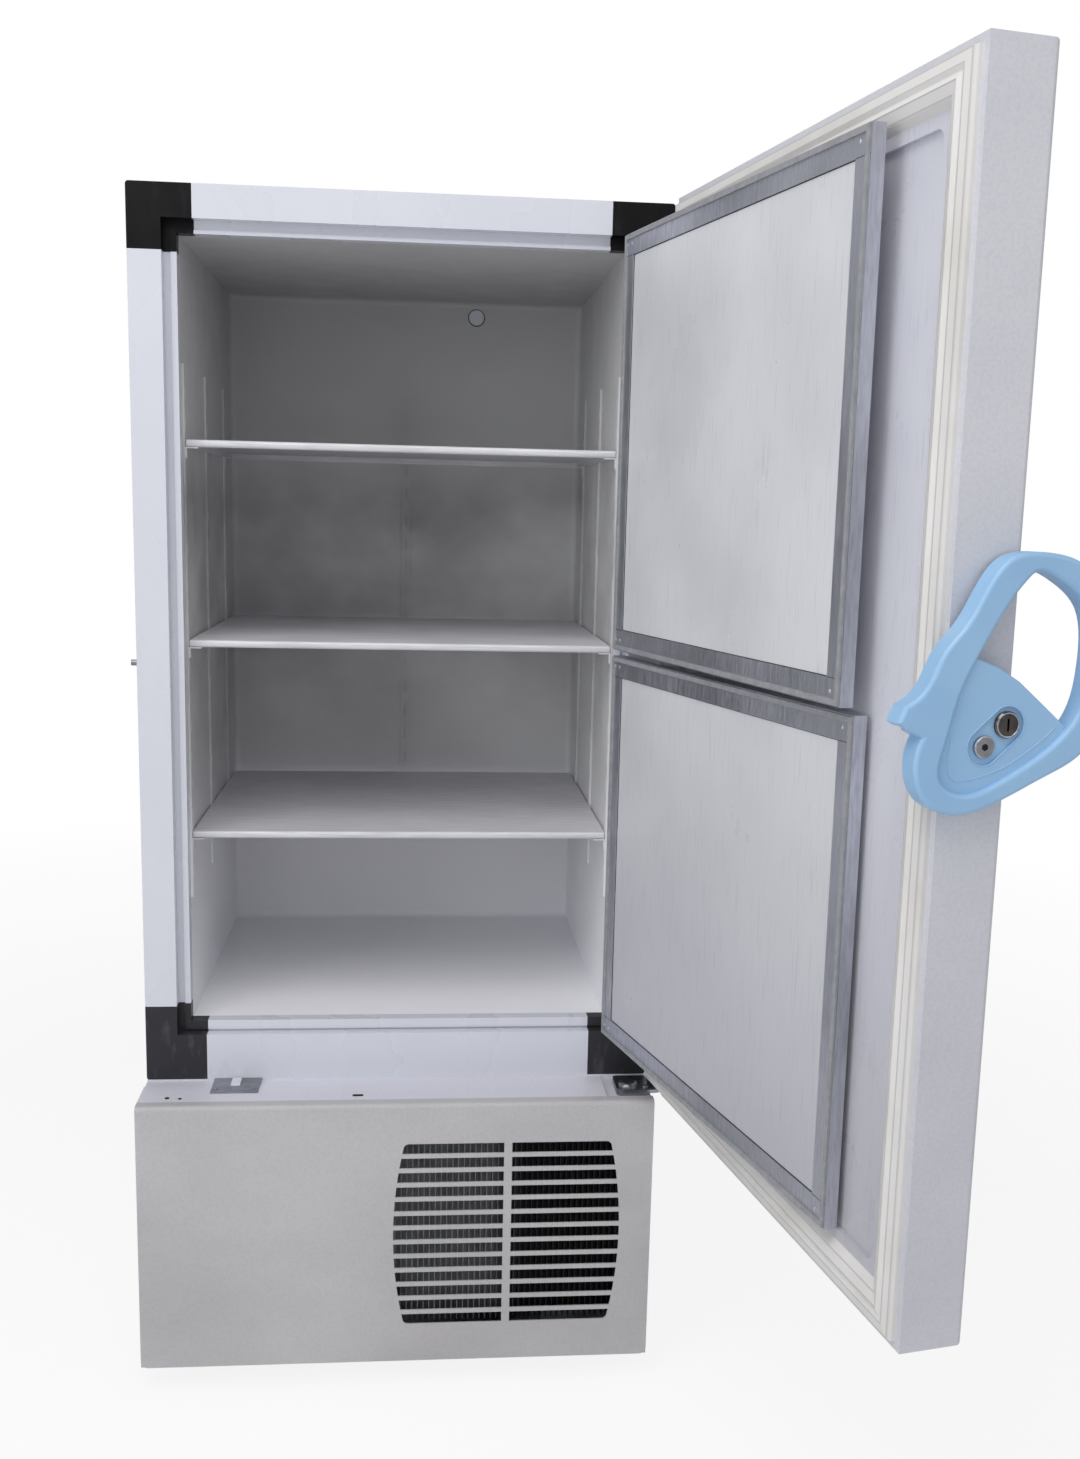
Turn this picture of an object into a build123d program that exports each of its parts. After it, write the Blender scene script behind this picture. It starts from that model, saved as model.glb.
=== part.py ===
from build123d import *
import os
from math import asin, cos, degrees, radians, sin

# Upright ultra low temperature freezer: insulated cabinet on a machine base, one outer door,
# two inner doors, three shelves. Every size is in millimetres.
# The model is drawn about the cabinet's front frame: x to the right of its middle,
# y back from its face, z up from the deck. save() moves it to the floor under the base's middle.

# Overall sizes
WIDTH = 864.0
CABINET_HEIGHT = 1469.0
CABINET_DEPTH = 760.0
BASE_HEIGHT = 466.0
BASE_STEP = 120.0
FLOOR_GAP = 46.0
SHEET = 2.0
FIT = 0.05
RUNNING_GAP = 0.3

# Front frame of the cabinet: face, groove and lip from the outside inwards
TRIM = 3.0
SIDE_FACE, SIDE_GROOVE, SIDE_LIP = 53.0, 11.5, 9.5
TOP_FACE, TOP_GROOVE, TOP_LIP = 52.0, 15.0, 5.5
LOW_FACE, LOW_GROOVE, LOW_LIP = 80.0, 4.0, 16.0
GROOVE_DEPTH = 22.0
LIP_DEPTH = 17.0
LINER_START = 40.0
TOP_CORNER_LEG = 101.0
LOW_CORNER_WIDTH = 102.5
LOW_CORNER_HEIGHT = 131.0
CORNER_RADIUS = 5.0

# Chamber
CHAMBER_BACK = 668.0
LINER_WALL = 3.0
LINER_RADIUS = 12.0
SHELF_TOPS = (1081.0, 753.0, 426.0)
SHELF_FRONT = 50.0
SHELF_BACK = 640.0
SHELF_SIDE_GAP = 4.0
SHELF_RIM = 12.0
SHELF_SHEET = 1.5
SHELF_ROLL = 5.0
PILASTER_ROWS = (57.0, 301.0, 545.0)
PILASTER_LOW = 311.0
PILASTER_TOP = 1201.0
PILASTER_WIDTH = 18.0
PILASTER_STAND_OFF = 3.0
PILASTER_SHEET = 1.2
SLOT_PITCH = 50.0
SLOT_HEIGHT = 22.0
SLOT_WIDTH = 5.0
CLIP_WIDTH = 14.0
CLIP_REACH = 20.0
CLIP_HEIGHT = 18.0
CLIP_SHEET = 2.0
PORT_X, PORT_Z, PORT_RADIUS = 141.0, 1367.0, 12.5
PORT_FLANGE = 15.5
PORT_FLANGE_DEPTH = 6.0
PORT_CAP_RADIUS = 24.0
PORT_CAP_DEPTH = 8.0
PORT_STEM = 40.0
PROBE_X, PROBE_RADIUS = 241.0, 4.0

# Base
FRONT_SHEET = 2.5
FRONT_RADIUS = 8.0
FRONT_FLANGE = 22.0
FRONT_CORNER = 12.0
SIDE_MARGIN = 1.0
DECK_SHEET = 2.5
DECK_STEP = 3.0
STEP_Y = -30.0
POCKET_LEFT = 353.0
POCKET_FLOOR = -10.0
PAN_SHEET = 3.0
POST_SIZE = 30.0
GRILLE_X, GRILLE_TOP, GRILLE_LOW = 184.3, -71.0, -397.5
GRILLE_END_HALF, GRILLE_MIDDLE_HALF = 174.0, 192.5
GRILLE_ROWS = 13
GRILLE_BAR = 7.8
GRILLE_POST = 13.5
GRILLE_CORNER = 9.0
REAR_SLOTS = 10

# Refrigeration in the base
CONDENSER_MARGIN = 20.0
CONDENSER_FRONT, CONDENSER_BACK = -94.0, -50.0
CONDENSER_TOP, CONDENSER_LOW = -62.0, -406.0
FIN_PITCH, FIN_THICKNESS, FIN_DEPTH = 9.7, 1.6, 24.0
TUBE_RADIUS, TUBE_PITCH, TUBE_BENDS = 5.0, 48.0, 3
FAN_RADIUS, FAN_GAP, FAN_RING = 140.0, 6.0, 34.0
SHROUD_BACK = -38.0
HUB_RADIUS, BLADE_CHORD, BLADE_SHEET, BLADE_PITCH, BLADES = 30.0, 78.0, 2.0, 24.0, 5
MOTOR_RADIUS, MOTOR_FRONT, MOTOR_BACK, SHAFT_RADIUS = 45.0, 12.0, 86.0, 5.0
COMPRESSOR_X, COMPRESSOR_Y = 165.0, 360.0
CAN_RADIUS, CAN_HEIGHT, CAN_DOME, CAN_FOOT = 92.0, 205.0, 55.0, 4.0
MOUNT_SPREAD, MOUNT_RADIUS, MOUNT_HEIGHT = 82.0, 13.0, 20.0
INLET_X, INLET_Z, INLET_WIDTH, INLET_HEIGHT = -330.0, -120.0, 50.0, 30.0

# Casters and levelling feet
CASTER_X, CASTER_FRONT, CASTER_BACK = 335.0, 70.0, 650.0
WELL_HALF, WELL_TOP = 76.0, 105.0
WHEEL_RADIUS, WHEEL_WIDTH, AXLE_RADIUS, CASTER_TRAIL = 38.0, 24.0, 6.0, 22.0
FORK_SHEET, FORK_GAP, STEM_RADIUS, COLLAR_RADIUS = 3.0, 1.0, 10.0, 22.0
CASTER_PLATE, CASTER_PLATE_HALF = 9.0, 42.0
FOOT_X, FOOT_Y, FOOT_RADIUS, FOOT_HEIGHT, STUD_RADIUS = 396.0, -24.0, 22.0, 7.0, 6.0
NUT_RADIUS, NUT_HEIGHT, STUD_ABOVE = 12.0, 15.0, 12.0

# Outer door, drawn closed
DOOR_BOTTOM = 5.0
DOOR_BACK = -14.0
DOOR_THICKNESS = 85.0
DOOR_RADIUS = 8.0
HINGE_X, HINGE_Y = 441.0, -27.0
DOOR_OPEN = 101.2
PIN_RADIUS = 6.0
KNUCKLE_RADIUS = 9.5
EAR_SHEET = 3.0
EAR_FRONT = -75.0
UPPER_EAR_LOW, UPPER_EAR_TOP = 1358.0, 1402.0
LOWER_EAR_TOP = 38.0
ARM_THICKNESS = 6.0
ARM_GAP = 2.0
ARM_FRONT, ARM_LEFT, ARM_RIGHT = -80.0, 372.0, 456.0
BOSS_X, BOSS_Y, BOSS_RADIUS, BOSS_TOP = 393.0, -64.0, 17.0, 13.0
NOTCH_GAP = 2.5
PANEL_SHEET = 2.5
PANEL_RIM = 45.0
PANEL_STEP = 76.0
PANEL_DEPTH = 6.5
PANEL_CORNER = 18.0
# Gasket section: distance in from the door's edge and distance from the frame's face
GASKET_SECTION = (
    (11.0, DOOR_BACK), (11.0, -9.0), (13.5, -3.4), (27.0, -1.6), (32.0, -4.2),
    (39.0, -0.8), (53.4, -6.0), (61.0, DOOR_BACK),
)
SCREEN_WIDTH, SCREEN_HEIGHT, SCREEN_Z, SCREEN_BEZEL, SCREEN_DEPTH = 190.0, 120.0, 1180.0, 12.0, 5.0

# Inner doors, drawn closed
INNER_LEFT, INNER_RIGHT = -376.0, 366.0
INNER_FRONT, INNER_BACK = -4.0, 14.0
UPPER_INNER = (754.0, 1415.0)
LOWER_INNER = (83.0, 744.0)
INNER_FRAME_WIDTH, INNER_SHEET = 34.0, 2.0
INNER_HINGE_X, INNER_HINGE_Y = 370.0, -6.0
UPPER_INNER_OPEN, LOWER_INNER_OPEN = 103.6, 105.2
INNER_PIN_RADIUS, INNER_KNUCKLE, INNER_KNUCKLE_HEIGHT = 2.0, 3.5, 8.0
INNER_HINGE_INSET = 31.0
SEAL_WIDTH, SEAL_HEIGHT, SEAL_INSET = 7.0, 2.7, 2.0

# Handle on the door's free edge, outline drawn in y and z, standing as with the latch pulled open
HANDLE_GAP = 5.5
HANDLE_WIDTH = 27.0
HANDLE_ROUND = 5.0
WEB_FRONT, WEB_BACK, WEB_CHAMFER = 7.0, 4.0, 1.5
PIVOT_Y, PIVOT_Z, PIVOT_RADIUS = -51.0, 735.0, 8.0
DISC_RADIUS, DISC_HEIGHT = 12.0, 5.0
LOCK_Y, LOCK_Z, LOCK_RADIUS, LOCK_HEIGHT = -78.0, 759.0, 15.0, 5.0
RECESS_RADIUS, RECESS_DEPTH = 21.0, 3.0
HANDLE_BASE_RADIUS = 30.0
BEAK_TIP = (59.0, 763.5)
HANDLE_OUTER = (
    (51, 782), (23, 808), (9, 838), (-14, 866), (-38, 907), (-66, 940), (-106, 946),
    (-160, 932), (-194, 890), (-205, 825), (-198, 765), (-168, 722), (-129, 701),
    (-58, 669), (-15, 661), (23, 679), (36, 712), (29, 747),
)
HANDLE_INNER = (
    (-92, 921), (-72, 898), (-43, 851), (-16, 798), (0, 738), (3, 700), (-19, 685),
    (-74, 699), (-126, 730), (-160, 765), (-174, 825), (-165, 885), (-130, 915),
)
WEB_EDGE = ((-33, 833), (-64, 821), (-90, 806), (-121, 781), (-160, 749))
LATCH_TURN = 28.0
STRIKE_REACH, STRIKE_ANGLE, STRIKE_RADIUS, STRIKE_SLACK = 99.0, -12.0, 5.0, 0.8
STRIKE_PLATE, STRIKE_LENGTH = 3.0, 17.0

# Door switch on the deck
SWITCH_LEFT, SWITCH_RIGHT, SWITCH_FRONT, SWITCH_PLATE = -317.0, -237.0, -65.0, 1.5
PLUNGER_LEFT, PLUNGER_RIGHT, PLUNGER_FRONT, PLUNGER_BACK = -286.0, -270.0, -36.0, -5.0
PLUNGER_TOP, PLUNGER_DEPTH = 4.2, 12.0

# Worked out from the sizes above
HALF = WIDTH / 2
MOUTH_X = HALF - SIDE_FACE - SIDE_GROOVE - SIDE_LIP
MOUTH_TOP = CABINET_HEIGHT - TOP_FACE - TOP_GROOVE - TOP_LIP
MOUTH_LOW = LOW_FACE + LOW_GROOVE + LOW_LIP
CORNER_DEPTH = GROOVE_DEPTH + TRIM
BASE_FRONT = -BASE_STEP
PAN_TOP = -BASE_HEIGHT + PAN_SHEET
FLOOR = -BASE_HEIGHT - FLOOR_GAP
DECK_LOW = -DECK_STEP - DECK_SHEET
DOOR_HALF = HALF - SIDE_MARGIN
DOOR_FRONT = DOOR_BACK - DOOR_THICKNESS
DOOR_TOP = CABINET_HEIGHT
HANDLE_BACK = -DOOR_HALF - HANDLE_GAP
HANDLE_FRONT = HANDLE_BACK - HANDLE_WIDTH
CONDENSER_LEFT = GRILLE_X - GRILLE_MIDDLE_HALF
CONDENSER_RIGHT = GRILLE_X + GRILLE_MIDDLE_HALF
FAN_Z = (GRILLE_TOP + GRILLE_LOW) / 2


def block(low, high):
    """A box between two opposite corners."""
    size = [b - a for a, b in zip(low, high)]
    middle = [(a + b) / 2 for a, b in zip(low, high)]
    return Pos(*middle) * Box(*size)


def outline(*corners):
    """A flat face from (u, v) corners, each with a rounding radius as a third value if it has one."""
    points = [corner[:2] for corner in corners]
    radii = [corner[2] if len(corner) > 2 else 0 for corner in corners]
    if any(radii):
        return make_face(FilletPolyline(*points, radius=radii, close=True))
    return make_face(Polyline(*points, close=True))


def rectangle(u0, u1, v0, v1, radius=0):
    """A flat rectangle between two opposite corners, all corners rounded alike."""
    return outline((u0, v0, radius), (u1, v0, radius), (u1, v1, radius), (u0, v1, radius))


def disc(u, v, radius):
    """A flat disc about a centre."""
    return Pos(u, v) * Circle(radius)


def from_front(face, y0, y1):
    """A face drawn in x and z, made solid from y0 back to y1."""
    return extrude(Plane.XZ.offset(-y1) * face, amount=y1 - y0)


def from_side(face, x0, x1):
    """A face drawn in y and z, made solid from x0 to x1."""
    return extrude(Plane.YZ.offset(x0) * face, amount=x1 - x0)


def from_above(face, z0, z1):
    """A face drawn in x and y, made solid from z0 up to z1."""
    return extrude(Plane.XY.offset(z0) * face, amount=z1 - z0)


def mirrored(shape):
    """The same shape on the other side of the middle plane."""
    return mirror(shape, about=Plane.YZ)


def turned(shape, x, y, angle):
    """A shape turned about an upright line through x and y."""
    return Pos(x, y, 0) * Rot(0, 0, angle) * Pos(-x, -y, 0) * shape


def door_open(shape):
    """A piece of the outer door, swung from closed to its place in the photograph."""
    return turned(shape, HINGE_X, HINGE_Y, DOOR_OPEN)


def save(name, *pieces):
    """Move the pieces to the origin on the floor under the base's middle and write one file."""
    lift = Pos(0, (BASE_STEP - CABINET_DEPTH) / 2, BASE_HEIGHT + FLOOR_GAP)
    solids = [solid for piece in pieces for solid in (lift * piece).solids()]
    shape = solids[0] if len(solids) == 1 else Compound(children=solids)
    export_step(shape, f"parts/{name}.step")


# Cabinet

def outer_cabinet():
    """The sheet wrapped round the four sides, with rounded upper edges."""
    radius = CORNER_RADIUS + TRIM
    around = outline((-HALF, 0), (HALF, 0), (HALF, CABINET_HEIGHT, radius), (-HALF, CABINET_HEIGHT, radius))
    inside = outline(
        (SHEET - HALF, SHEET), (HALF - SHEET, SHEET),
        (HALF - SHEET, CABINET_HEIGHT - SHEET, radius - SHEET),
        (SHEET - HALF, CABINET_HEIGHT - SHEET, radius - SHEET),
    )
    return from_front(around - inside, TRIM, CABINET_DEPTH - SHEET)


def back_panel():
    """The flat rear sheet, cut round the port."""
    radius = CORNER_RADIUS + TRIM
    sheet = from_front(
        outline((-HALF, 0), (HALF, 0), (HALF, CABINET_HEIGHT, radius), (-HALF, CABINET_HEIGHT, radius)),
        CABINET_DEPTH - SHEET, CABINET_DEPTH,
    )
    bore = from_front(disc(PORT_X, PORT_Z, PORT_RADIUS + 1), CABINET_DEPTH - SHEET, CABINET_DEPTH)
    return sheet - bore


def cabinet_insulation():
    """The foam between the outer sheet and the liner, cast round the port."""
    left, right, top = SHEET - HALF, HALF - SHEET, CABINET_HEIGHT - SHEET
    radius = CORNER_RADIUS + TRIM
    face = outline((left, SHEET), (right, SHEET), (right, top, radius), (left, top, radius))
    foam = from_front(face, CORNER_DEPTH, CABINET_DEPTH - SHEET)
    room = block(
        (-MOUTH_X - LINER_WALL, 0, MOUTH_LOW - LINER_WALL),
        (MOUTH_X + LINER_WALL, CHAMBER_BACK + LINER_WALL, MOUTH_TOP + LINER_WALL),
    )
    bore = from_front(disc(PORT_X, PORT_Z, PORT_RADIUS), CHAMBER_BACK, CABINET_DEPTH)
    return foam - room - bore


def inner_liner():
    """The painted box of the chamber, open in front, with rounded edges at the back wall."""
    box = block(
        (-MOUTH_X - LINER_WALL, LINER_START, MOUTH_LOW - LINER_WALL),
        (MOUTH_X + LINER_WALL, CHAMBER_BACK + LINER_WALL, MOUTH_TOP + LINER_WALL),
    )
    room = block((-MOUTH_X, LINER_START, MOUTH_LOW), (MOUTH_X, CHAMBER_BACK, MOUTH_TOP))
    room = fillet(room.faces().sort_by(Axis.Y)[-1].edges(), LINER_RADIUS)
    port = from_front(disc(PORT_X, PORT_Z, PORT_RADIUS), CHAMBER_BACK, CHAMBER_BACK + LINER_WALL)
    probe = from_front(disc(PROBE_X, PORT_Z, PROBE_RADIUS), CHAMBER_BACK, CHAMBER_BACK + LINER_WALL)
    return box - room - port - probe


def strip_section(face, groove, lip):
    """Half of the breaker frame cut across: face, groove and lip, then the return to the liner."""
    step = face + groove
    mouth = step + lip
    return (
        (0, 0), (face, 0), (face, GROOVE_DEPTH), (step, GROOVE_DEPTH), (step, LIP_DEPTH),
        (mouth, LIP_DEPTH), (mouth, LINER_START), (mouth - TRIM, LINER_START),
        (mouth - TRIM, CORNER_DEPTH), (face - TRIM, CORNER_DEPTH), (face - TRIM, TRIM), (0, TRIM),
    )


def frame_strip_right():
    """The upright strip of the frame on the hinge side, between two corner pieces."""
    section = outline(*[(HALF - u, y) for u, y in strip_section(SIDE_FACE, SIDE_GROOVE, SIDE_LIP)])
    return from_above(section, LOW_CORNER_HEIGHT, CABINET_HEIGHT - TOP_CORNER_LEG)


def frame_strip_top():
    """The strip of the frame along the top."""
    reach = HALF - TOP_CORNER_LEG
    section = outline(*[(y, CABINET_HEIGHT - u) for u, y in strip_section(TOP_FACE, TOP_GROOVE, TOP_LIP)])
    return from_side(section, -reach, reach)


def frame_strip_bottom():
    """The wide strip of the frame along the sill."""
    reach = HALF - LOW_CORNER_WIDTH
    section = outline(*[(y, u) for u, y in strip_section(LOW_FACE, LOW_GROOVE, LOW_LIP)])
    return from_side(section, -reach, reach)


def frame_corner(width, height, face, groove, lip):
    """A moulded corner piece that carries face, groove and lip round the turn, its corner at 0, 0."""
    side_step, step = SIDE_FACE + SIDE_GROOVE, face + groove
    side_mouth, mouth = side_step + SIDE_LIP, step + lip
    plate = outline((0, 0, CORNER_RADIUS), (width, 0), (width, mouth), (side_mouth, mouth),
                    (side_mouth, height), (0, height))
    recess = rectangle(SIDE_FACE, width, face, height)
    ledge = rectangle(side_step, width, step, height)
    opening = rectangle(side_mouth, width, mouth, height)
    flange = rectangle(side_mouth - TRIM, width, mouth - TRIM, height)
    inset = plate & outline((SHEET, SHEET, CORNER_RADIUS + TRIM - SHEET), (width, SHEET), (width, height),
                            (SHEET, height))
    piece = from_front(plate, 0, TRIM) + from_front(inset, TRIM, CORNER_DEPTH)
    piece -= from_front(recess, 0, GROOVE_DEPTH)
    piece += from_front(ledge - opening, LIP_DEPTH, CORNER_DEPTH)
    return piece + from_front(flange - opening, CORNER_DEPTH, LINER_START)


def top_corner():
    """The upper right corner piece."""
    piece = frame_corner(TOP_CORNER_LEG, TOP_CORNER_LEG, TOP_FACE, TOP_GROOVE, TOP_LIP)
    return Pos(HALF, 0, CABINET_HEIGHT) * Rot(0, 180, 0) * piece


def low_corner():
    """The lower left corner piece."""
    piece = frame_corner(LOW_CORNER_WIDTH, LOW_CORNER_HEIGHT, LOW_FACE, LOW_GROOVE, LOW_LIP)
    return Pos(-HALF, 0, 0) * piece


# Chamber

def pilaster():
    """A slotted channel that shelf clips hook into, drawn upright with its face towards -y."""
    half = PILASTER_WIDTH / 2
    length = PILASTER_TOP - PILASTER_LOW
    count = int(length // SLOT_PITCH)
    face = rectangle(-half, half, 0, length)
    slots = GridLocations(1, SLOT_PITCH, 1, count)
    face -= Pos(0, length / 2) * slots * Rectangle(SLOT_WIDTH, SLOT_HEIGHT)
    legs = rectangle(-half, PILASTER_SHEET - half, 0, length) + rectangle(half - PILASTER_SHEET, half, 0, length)
    channel = from_front(face, -PILASTER_STAND_OFF, PILASTER_SHEET - PILASTER_STAND_OFF)
    return channel + from_front(legs, PILASTER_SHEET - PILASTER_STAND_OFF, 0)


def shelf_pilasters():
    """Three channels on each side wall and one in the middle of the back wall."""
    channel = Pos(0, 0, PILASTER_LOW) * pilaster()
    right = [Pos(MOUTH_X, y, 0) * Rot(0, 0, -90) * channel for y in PILASTER_ROWS]
    left = [mirrored(piece) for piece in right]
    return [*right, *left, Pos(0, CHAMBER_BACK, 0) * channel]


def shelf_clips():
    """Bent clips under each shelf, one on the front and one on the rear channel of both walls."""
    foot = MOUTH_X - PILASTER_STAND_OFF
    clips = []
    for top in SHELF_TOPS:
        seat = top - SHELF_RIM
        section = outline(
            (foot, seat, 1), (foot - CLIP_REACH, seat), (foot - CLIP_REACH, seat - CLIP_SHEET),
            (foot - CLIP_SHEET, seat - CLIP_SHEET), (foot - CLIP_SHEET, seat - CLIP_HEIGHT),
            (foot, seat - CLIP_HEIGHT),
        )
        for y in (PILASTER_ROWS[0], PILASTER_ROWS[-1]):
            clip = from_front(section, y - CLIP_WIDTH / 2, y + CLIP_WIDTH / 2)
            clips += [clip, mirrored(clip)]
    return clips


def shelf(top):
    """A sheet steel shelf with its rims folded down and a rolled front edge."""
    half = MOUTH_X - SHELF_SIDE_GAP
    body = block((-half, SHELF_FRONT, top - SHELF_RIM), (half, SHELF_BACK, top))
    front = body.faces().sort_by(Axis.Y)[0].edges().sort_by(Axis.Z)
    body = fillet([front[0], front[-1]], SHELF_ROLL)
    room = block(
        (SHELF_SHEET - half, SHELF_FRONT + SHELF_ROLL + SHELF_SHEET, top - SHELF_RIM),
        (half - SHELF_SHEET, SHELF_BACK - SHELF_SHEET, top - SHELF_SHEET),
    )
    return body - room


def port_plugs():
    """The plug in the back wall of the chamber and the cap over the port behind the cabinet."""
    wall_end = CHAMBER_BACK + LINER_WALL
    plug = from_front(disc(PORT_X, PORT_Z, PORT_FLANGE), CHAMBER_BACK - PORT_FLANGE_DEPTH, CHAMBER_BACK)
    plug = fillet(plug.edges().group_by(Axis.Y)[0], PORT_FLANGE_DEPTH / 3)
    plug += from_front(disc(PORT_X, PORT_Z, PORT_RADIUS - FIT), CHAMBER_BACK, wall_end + PORT_STEM / 2)
    cap = from_front(disc(PORT_X, PORT_Z, PORT_CAP_RADIUS), CABINET_DEPTH, CABINET_DEPTH + PORT_CAP_DEPTH)
    cap += from_front(disc(PORT_X, PORT_Z, PORT_RADIUS - FIT), CABINET_DEPTH - PORT_STEM / 2, CABINET_DEPTH)
    return [plug, cap]


# Base

def base_chassis():
    """The welded pan with its posts, the wells that the casters stand in and the foot nuts."""
    inner = HALF - SIDE_MARGIN - SHEET
    front, back = BASE_FRONT + FRONT_SHEET, CABINET_DEPTH - SHEET
    pan = block((-inner, front, -BASE_HEIGHT), (inner, back, PAN_TOP))
    for x in (-inner, inner - POST_SIZE):
        for y in (front + FRONT_RADIUS, back - POST_SIZE):
            top = POCKET_FLOOR if x > 0 and y < 0 else DECK_LOW
            post = block((x, y, PAN_TOP), (x + POST_SIZE, y + POST_SIZE, top))
            hollow_x = x + PAN_SHEET if x < 0 else x - PAN_SHEET
            hollow_y = y + PAN_SHEET if y < 0 else y - PAN_SHEET
            post -= block((hollow_x, hollow_y, PAN_TOP), (hollow_x + POST_SIZE, hollow_y + POST_SIZE, DECK_LOW))
            pan += post
    well_top = FLOOR + WELL_TOP
    for x in (-CASTER_X, CASTER_X):
        for y in (CASTER_FRONT, CASTER_BACK):
            outside = WELL_HALF + PAN_SHEET
            pan += block((x - outside, y - outside, PAN_TOP), (x + outside, y + outside, well_top + PAN_SHEET))
            pan -= block((x - WELL_HALF, y - WELL_HALF, -BASE_HEIGHT), (x + WELL_HALF, y + WELL_HALF, well_top))
        foot = disc(x / CASTER_X * FOOT_X, FOOT_Y, NUT_RADIUS)
        pan += from_above(foot, PAN_TOP, PAN_TOP + NUT_HEIGHT)
        pan -= from_above(disc(x / CASTER_X * FOOT_X, FOOT_Y, STUD_RADIUS + FIT), -BASE_HEIGHT, PAN_TOP + NUT_HEIGHT)
    return pan


def deck_panel():
    """The top of the base: a raised plateau in front of the cabinet, and a pocket for the hinge."""
    front, half = BASE_FRONT + FRONT_FLANGE, HALF - SIDE_MARGIN
    deck = block((-half, front, DECK_LOW), (half, CABINET_DEPTH, -DECK_STEP))
    deck += block((-half, 0, -DECK_STEP), (half, CABINET_DEPTH, 0))
    plateau = from_above(outline((-half, front), (POCKET_LEFT, front), (POCKET_LEFT, STEP_Y, 6), (-half, STEP_Y)),
                         -DECK_STEP, 0)
    deck += chamfer(plateau.edges().group_by(Axis.Z)[-1].sort_by(Axis.Y)[-1], 1)
    deck -= block((POCKET_LEFT, front, POCKET_FLOOR), (half, 0, 0))
    tray = block((POCKET_LEFT - DECK_SHEET, front, POCKET_FLOOR), (half, DECK_SHEET, DECK_LOW))
    tray -= block((POCKET_LEFT, front, POCKET_FLOOR + DECK_SHEET), (half, 0, DECK_LOW))
    opening = block(
        (PLUNGER_LEFT - RUNNING_GAP, PLUNGER_FRONT - RUNNING_GAP, DECK_LOW),
        (PLUNGER_RIGHT + RUNNING_GAP, PLUNGER_BACK + RUNNING_GAP, 0),
    )
    return deck + tray - opening


def grille_face():
    """The barrel-shaped field of the grille, its sides bowed outwards, with rounded corners."""
    middle = (GRILLE_TOP + GRILLE_LOW) / 2
    left, right = GRILLE_X - GRILLE_END_HALF, GRILLE_X + GRILLE_END_HALF
    sides = [
        Line((left, GRILLE_TOP), (right, GRILLE_TOP)),
        ThreePointArc((right, GRILLE_TOP), (GRILLE_X + GRILLE_MIDDLE_HALF, middle), (right, GRILLE_LOW)),
        Line((right, GRILLE_LOW), (left, GRILLE_LOW)),
        ThreePointArc((left, GRILLE_LOW), (GRILLE_X - GRILLE_MIDDLE_HALF, middle), (left, GRILLE_TOP)),
    ]
    field = make_face(sides)
    return fillet(field.vertices(), GRILLE_CORNER)


def grille_slots():
    """The grille's field parted by its level bars and by the upright bar in its middle."""
    pitch = (GRILLE_TOP - GRILLE_LOW + GRILLE_BAR) / GRILLE_ROWS
    slots = grille_face()
    for row in range(1, GRILLE_ROWS):
        z = GRILLE_LOW + row * pitch - GRILLE_BAR
        slots -= rectangle(CONDENSER_LEFT - SHEET, CONDENSER_RIGHT + SHEET, z, z + GRILLE_BAR)
    return slots - rectangle(GRILLE_X - GRILLE_POST / 2, GRILLE_X + GRILLE_POST / 2, GRILLE_LOW, GRILLE_TOP)


def base_front_panel():
    """The front sheet, rolled over at the top, rounded at the lower corners, cut for the grille."""
    flange_end = BASE_FRONT + FRONT_FLANGE
    outer = outline((BASE_FRONT, -BASE_HEIGHT), (flange_end, -BASE_HEIGHT), (flange_end, 0),
                    (BASE_FRONT, 0, FRONT_RADIUS))
    inner_front = BASE_FRONT + FRONT_SHEET
    inner = outline((inner_front, -BASE_HEIGHT), (flange_end, -BASE_HEIGHT), (flange_end, -FRONT_SHEET),
                    (inner_front, -FRONT_SHEET, FRONT_RADIUS - FRONT_SHEET))
    half = HALF - SIDE_MARGIN
    panel = from_side(outer - inner, -half, half)
    blank = outline((-half, 0), (half, 0), (half, -BASE_HEIGHT, FRONT_CORNER), (-half, -BASE_HEIGHT, FRONT_CORNER))
    panel &= from_front(blank, BASE_FRONT, flange_end)
    return panel - from_front(grille_slots(), BASE_FRONT, inner_front)


def base_side_panels():
    """The plain sheets that close the base on both sides."""
    face = outline((BASE_FRONT + FRONT_SHEET, -BASE_HEIGHT), (CABINET_DEPTH, -BASE_HEIGHT),
                   (CABINET_DEPTH, POCKET_FLOOR), (BASE_FRONT + FRONT_SHEET, POCKET_FLOOR))
    right = from_side(face, HALF - SIDE_MARGIN - SHEET, HALF - SIDE_MARGIN)
    return [right, mirrored(right)]


def base_rear_grille():
    """The rear sheet of the base, with rows of slots that let the warm air out."""
    half = HALF - SIDE_MARGIN - SHEET
    face = rectangle(-half, half, -BASE_HEIGHT, POCKET_FLOOR)
    pitch = (GRILLE_TOP - GRILLE_LOW) / REAR_SLOTS
    field = GridLocations(2 * GRILLE_END_HALF, pitch, 2, REAR_SLOTS)
    face -= Pos(0, FAN_Z) * field * SlotOverall(1.6 * GRILLE_END_HALF, pitch / 3)
    face -= rectangle(INLET_X - INLET_WIDTH / 2, INLET_X + INLET_WIDTH / 2,
                      INLET_Z - INLET_HEIGHT / 2, INLET_Z + INLET_HEIGHT / 2)
    return from_front(face, CABINET_DEPTH - SHEET, CABINET_DEPTH)


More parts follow.
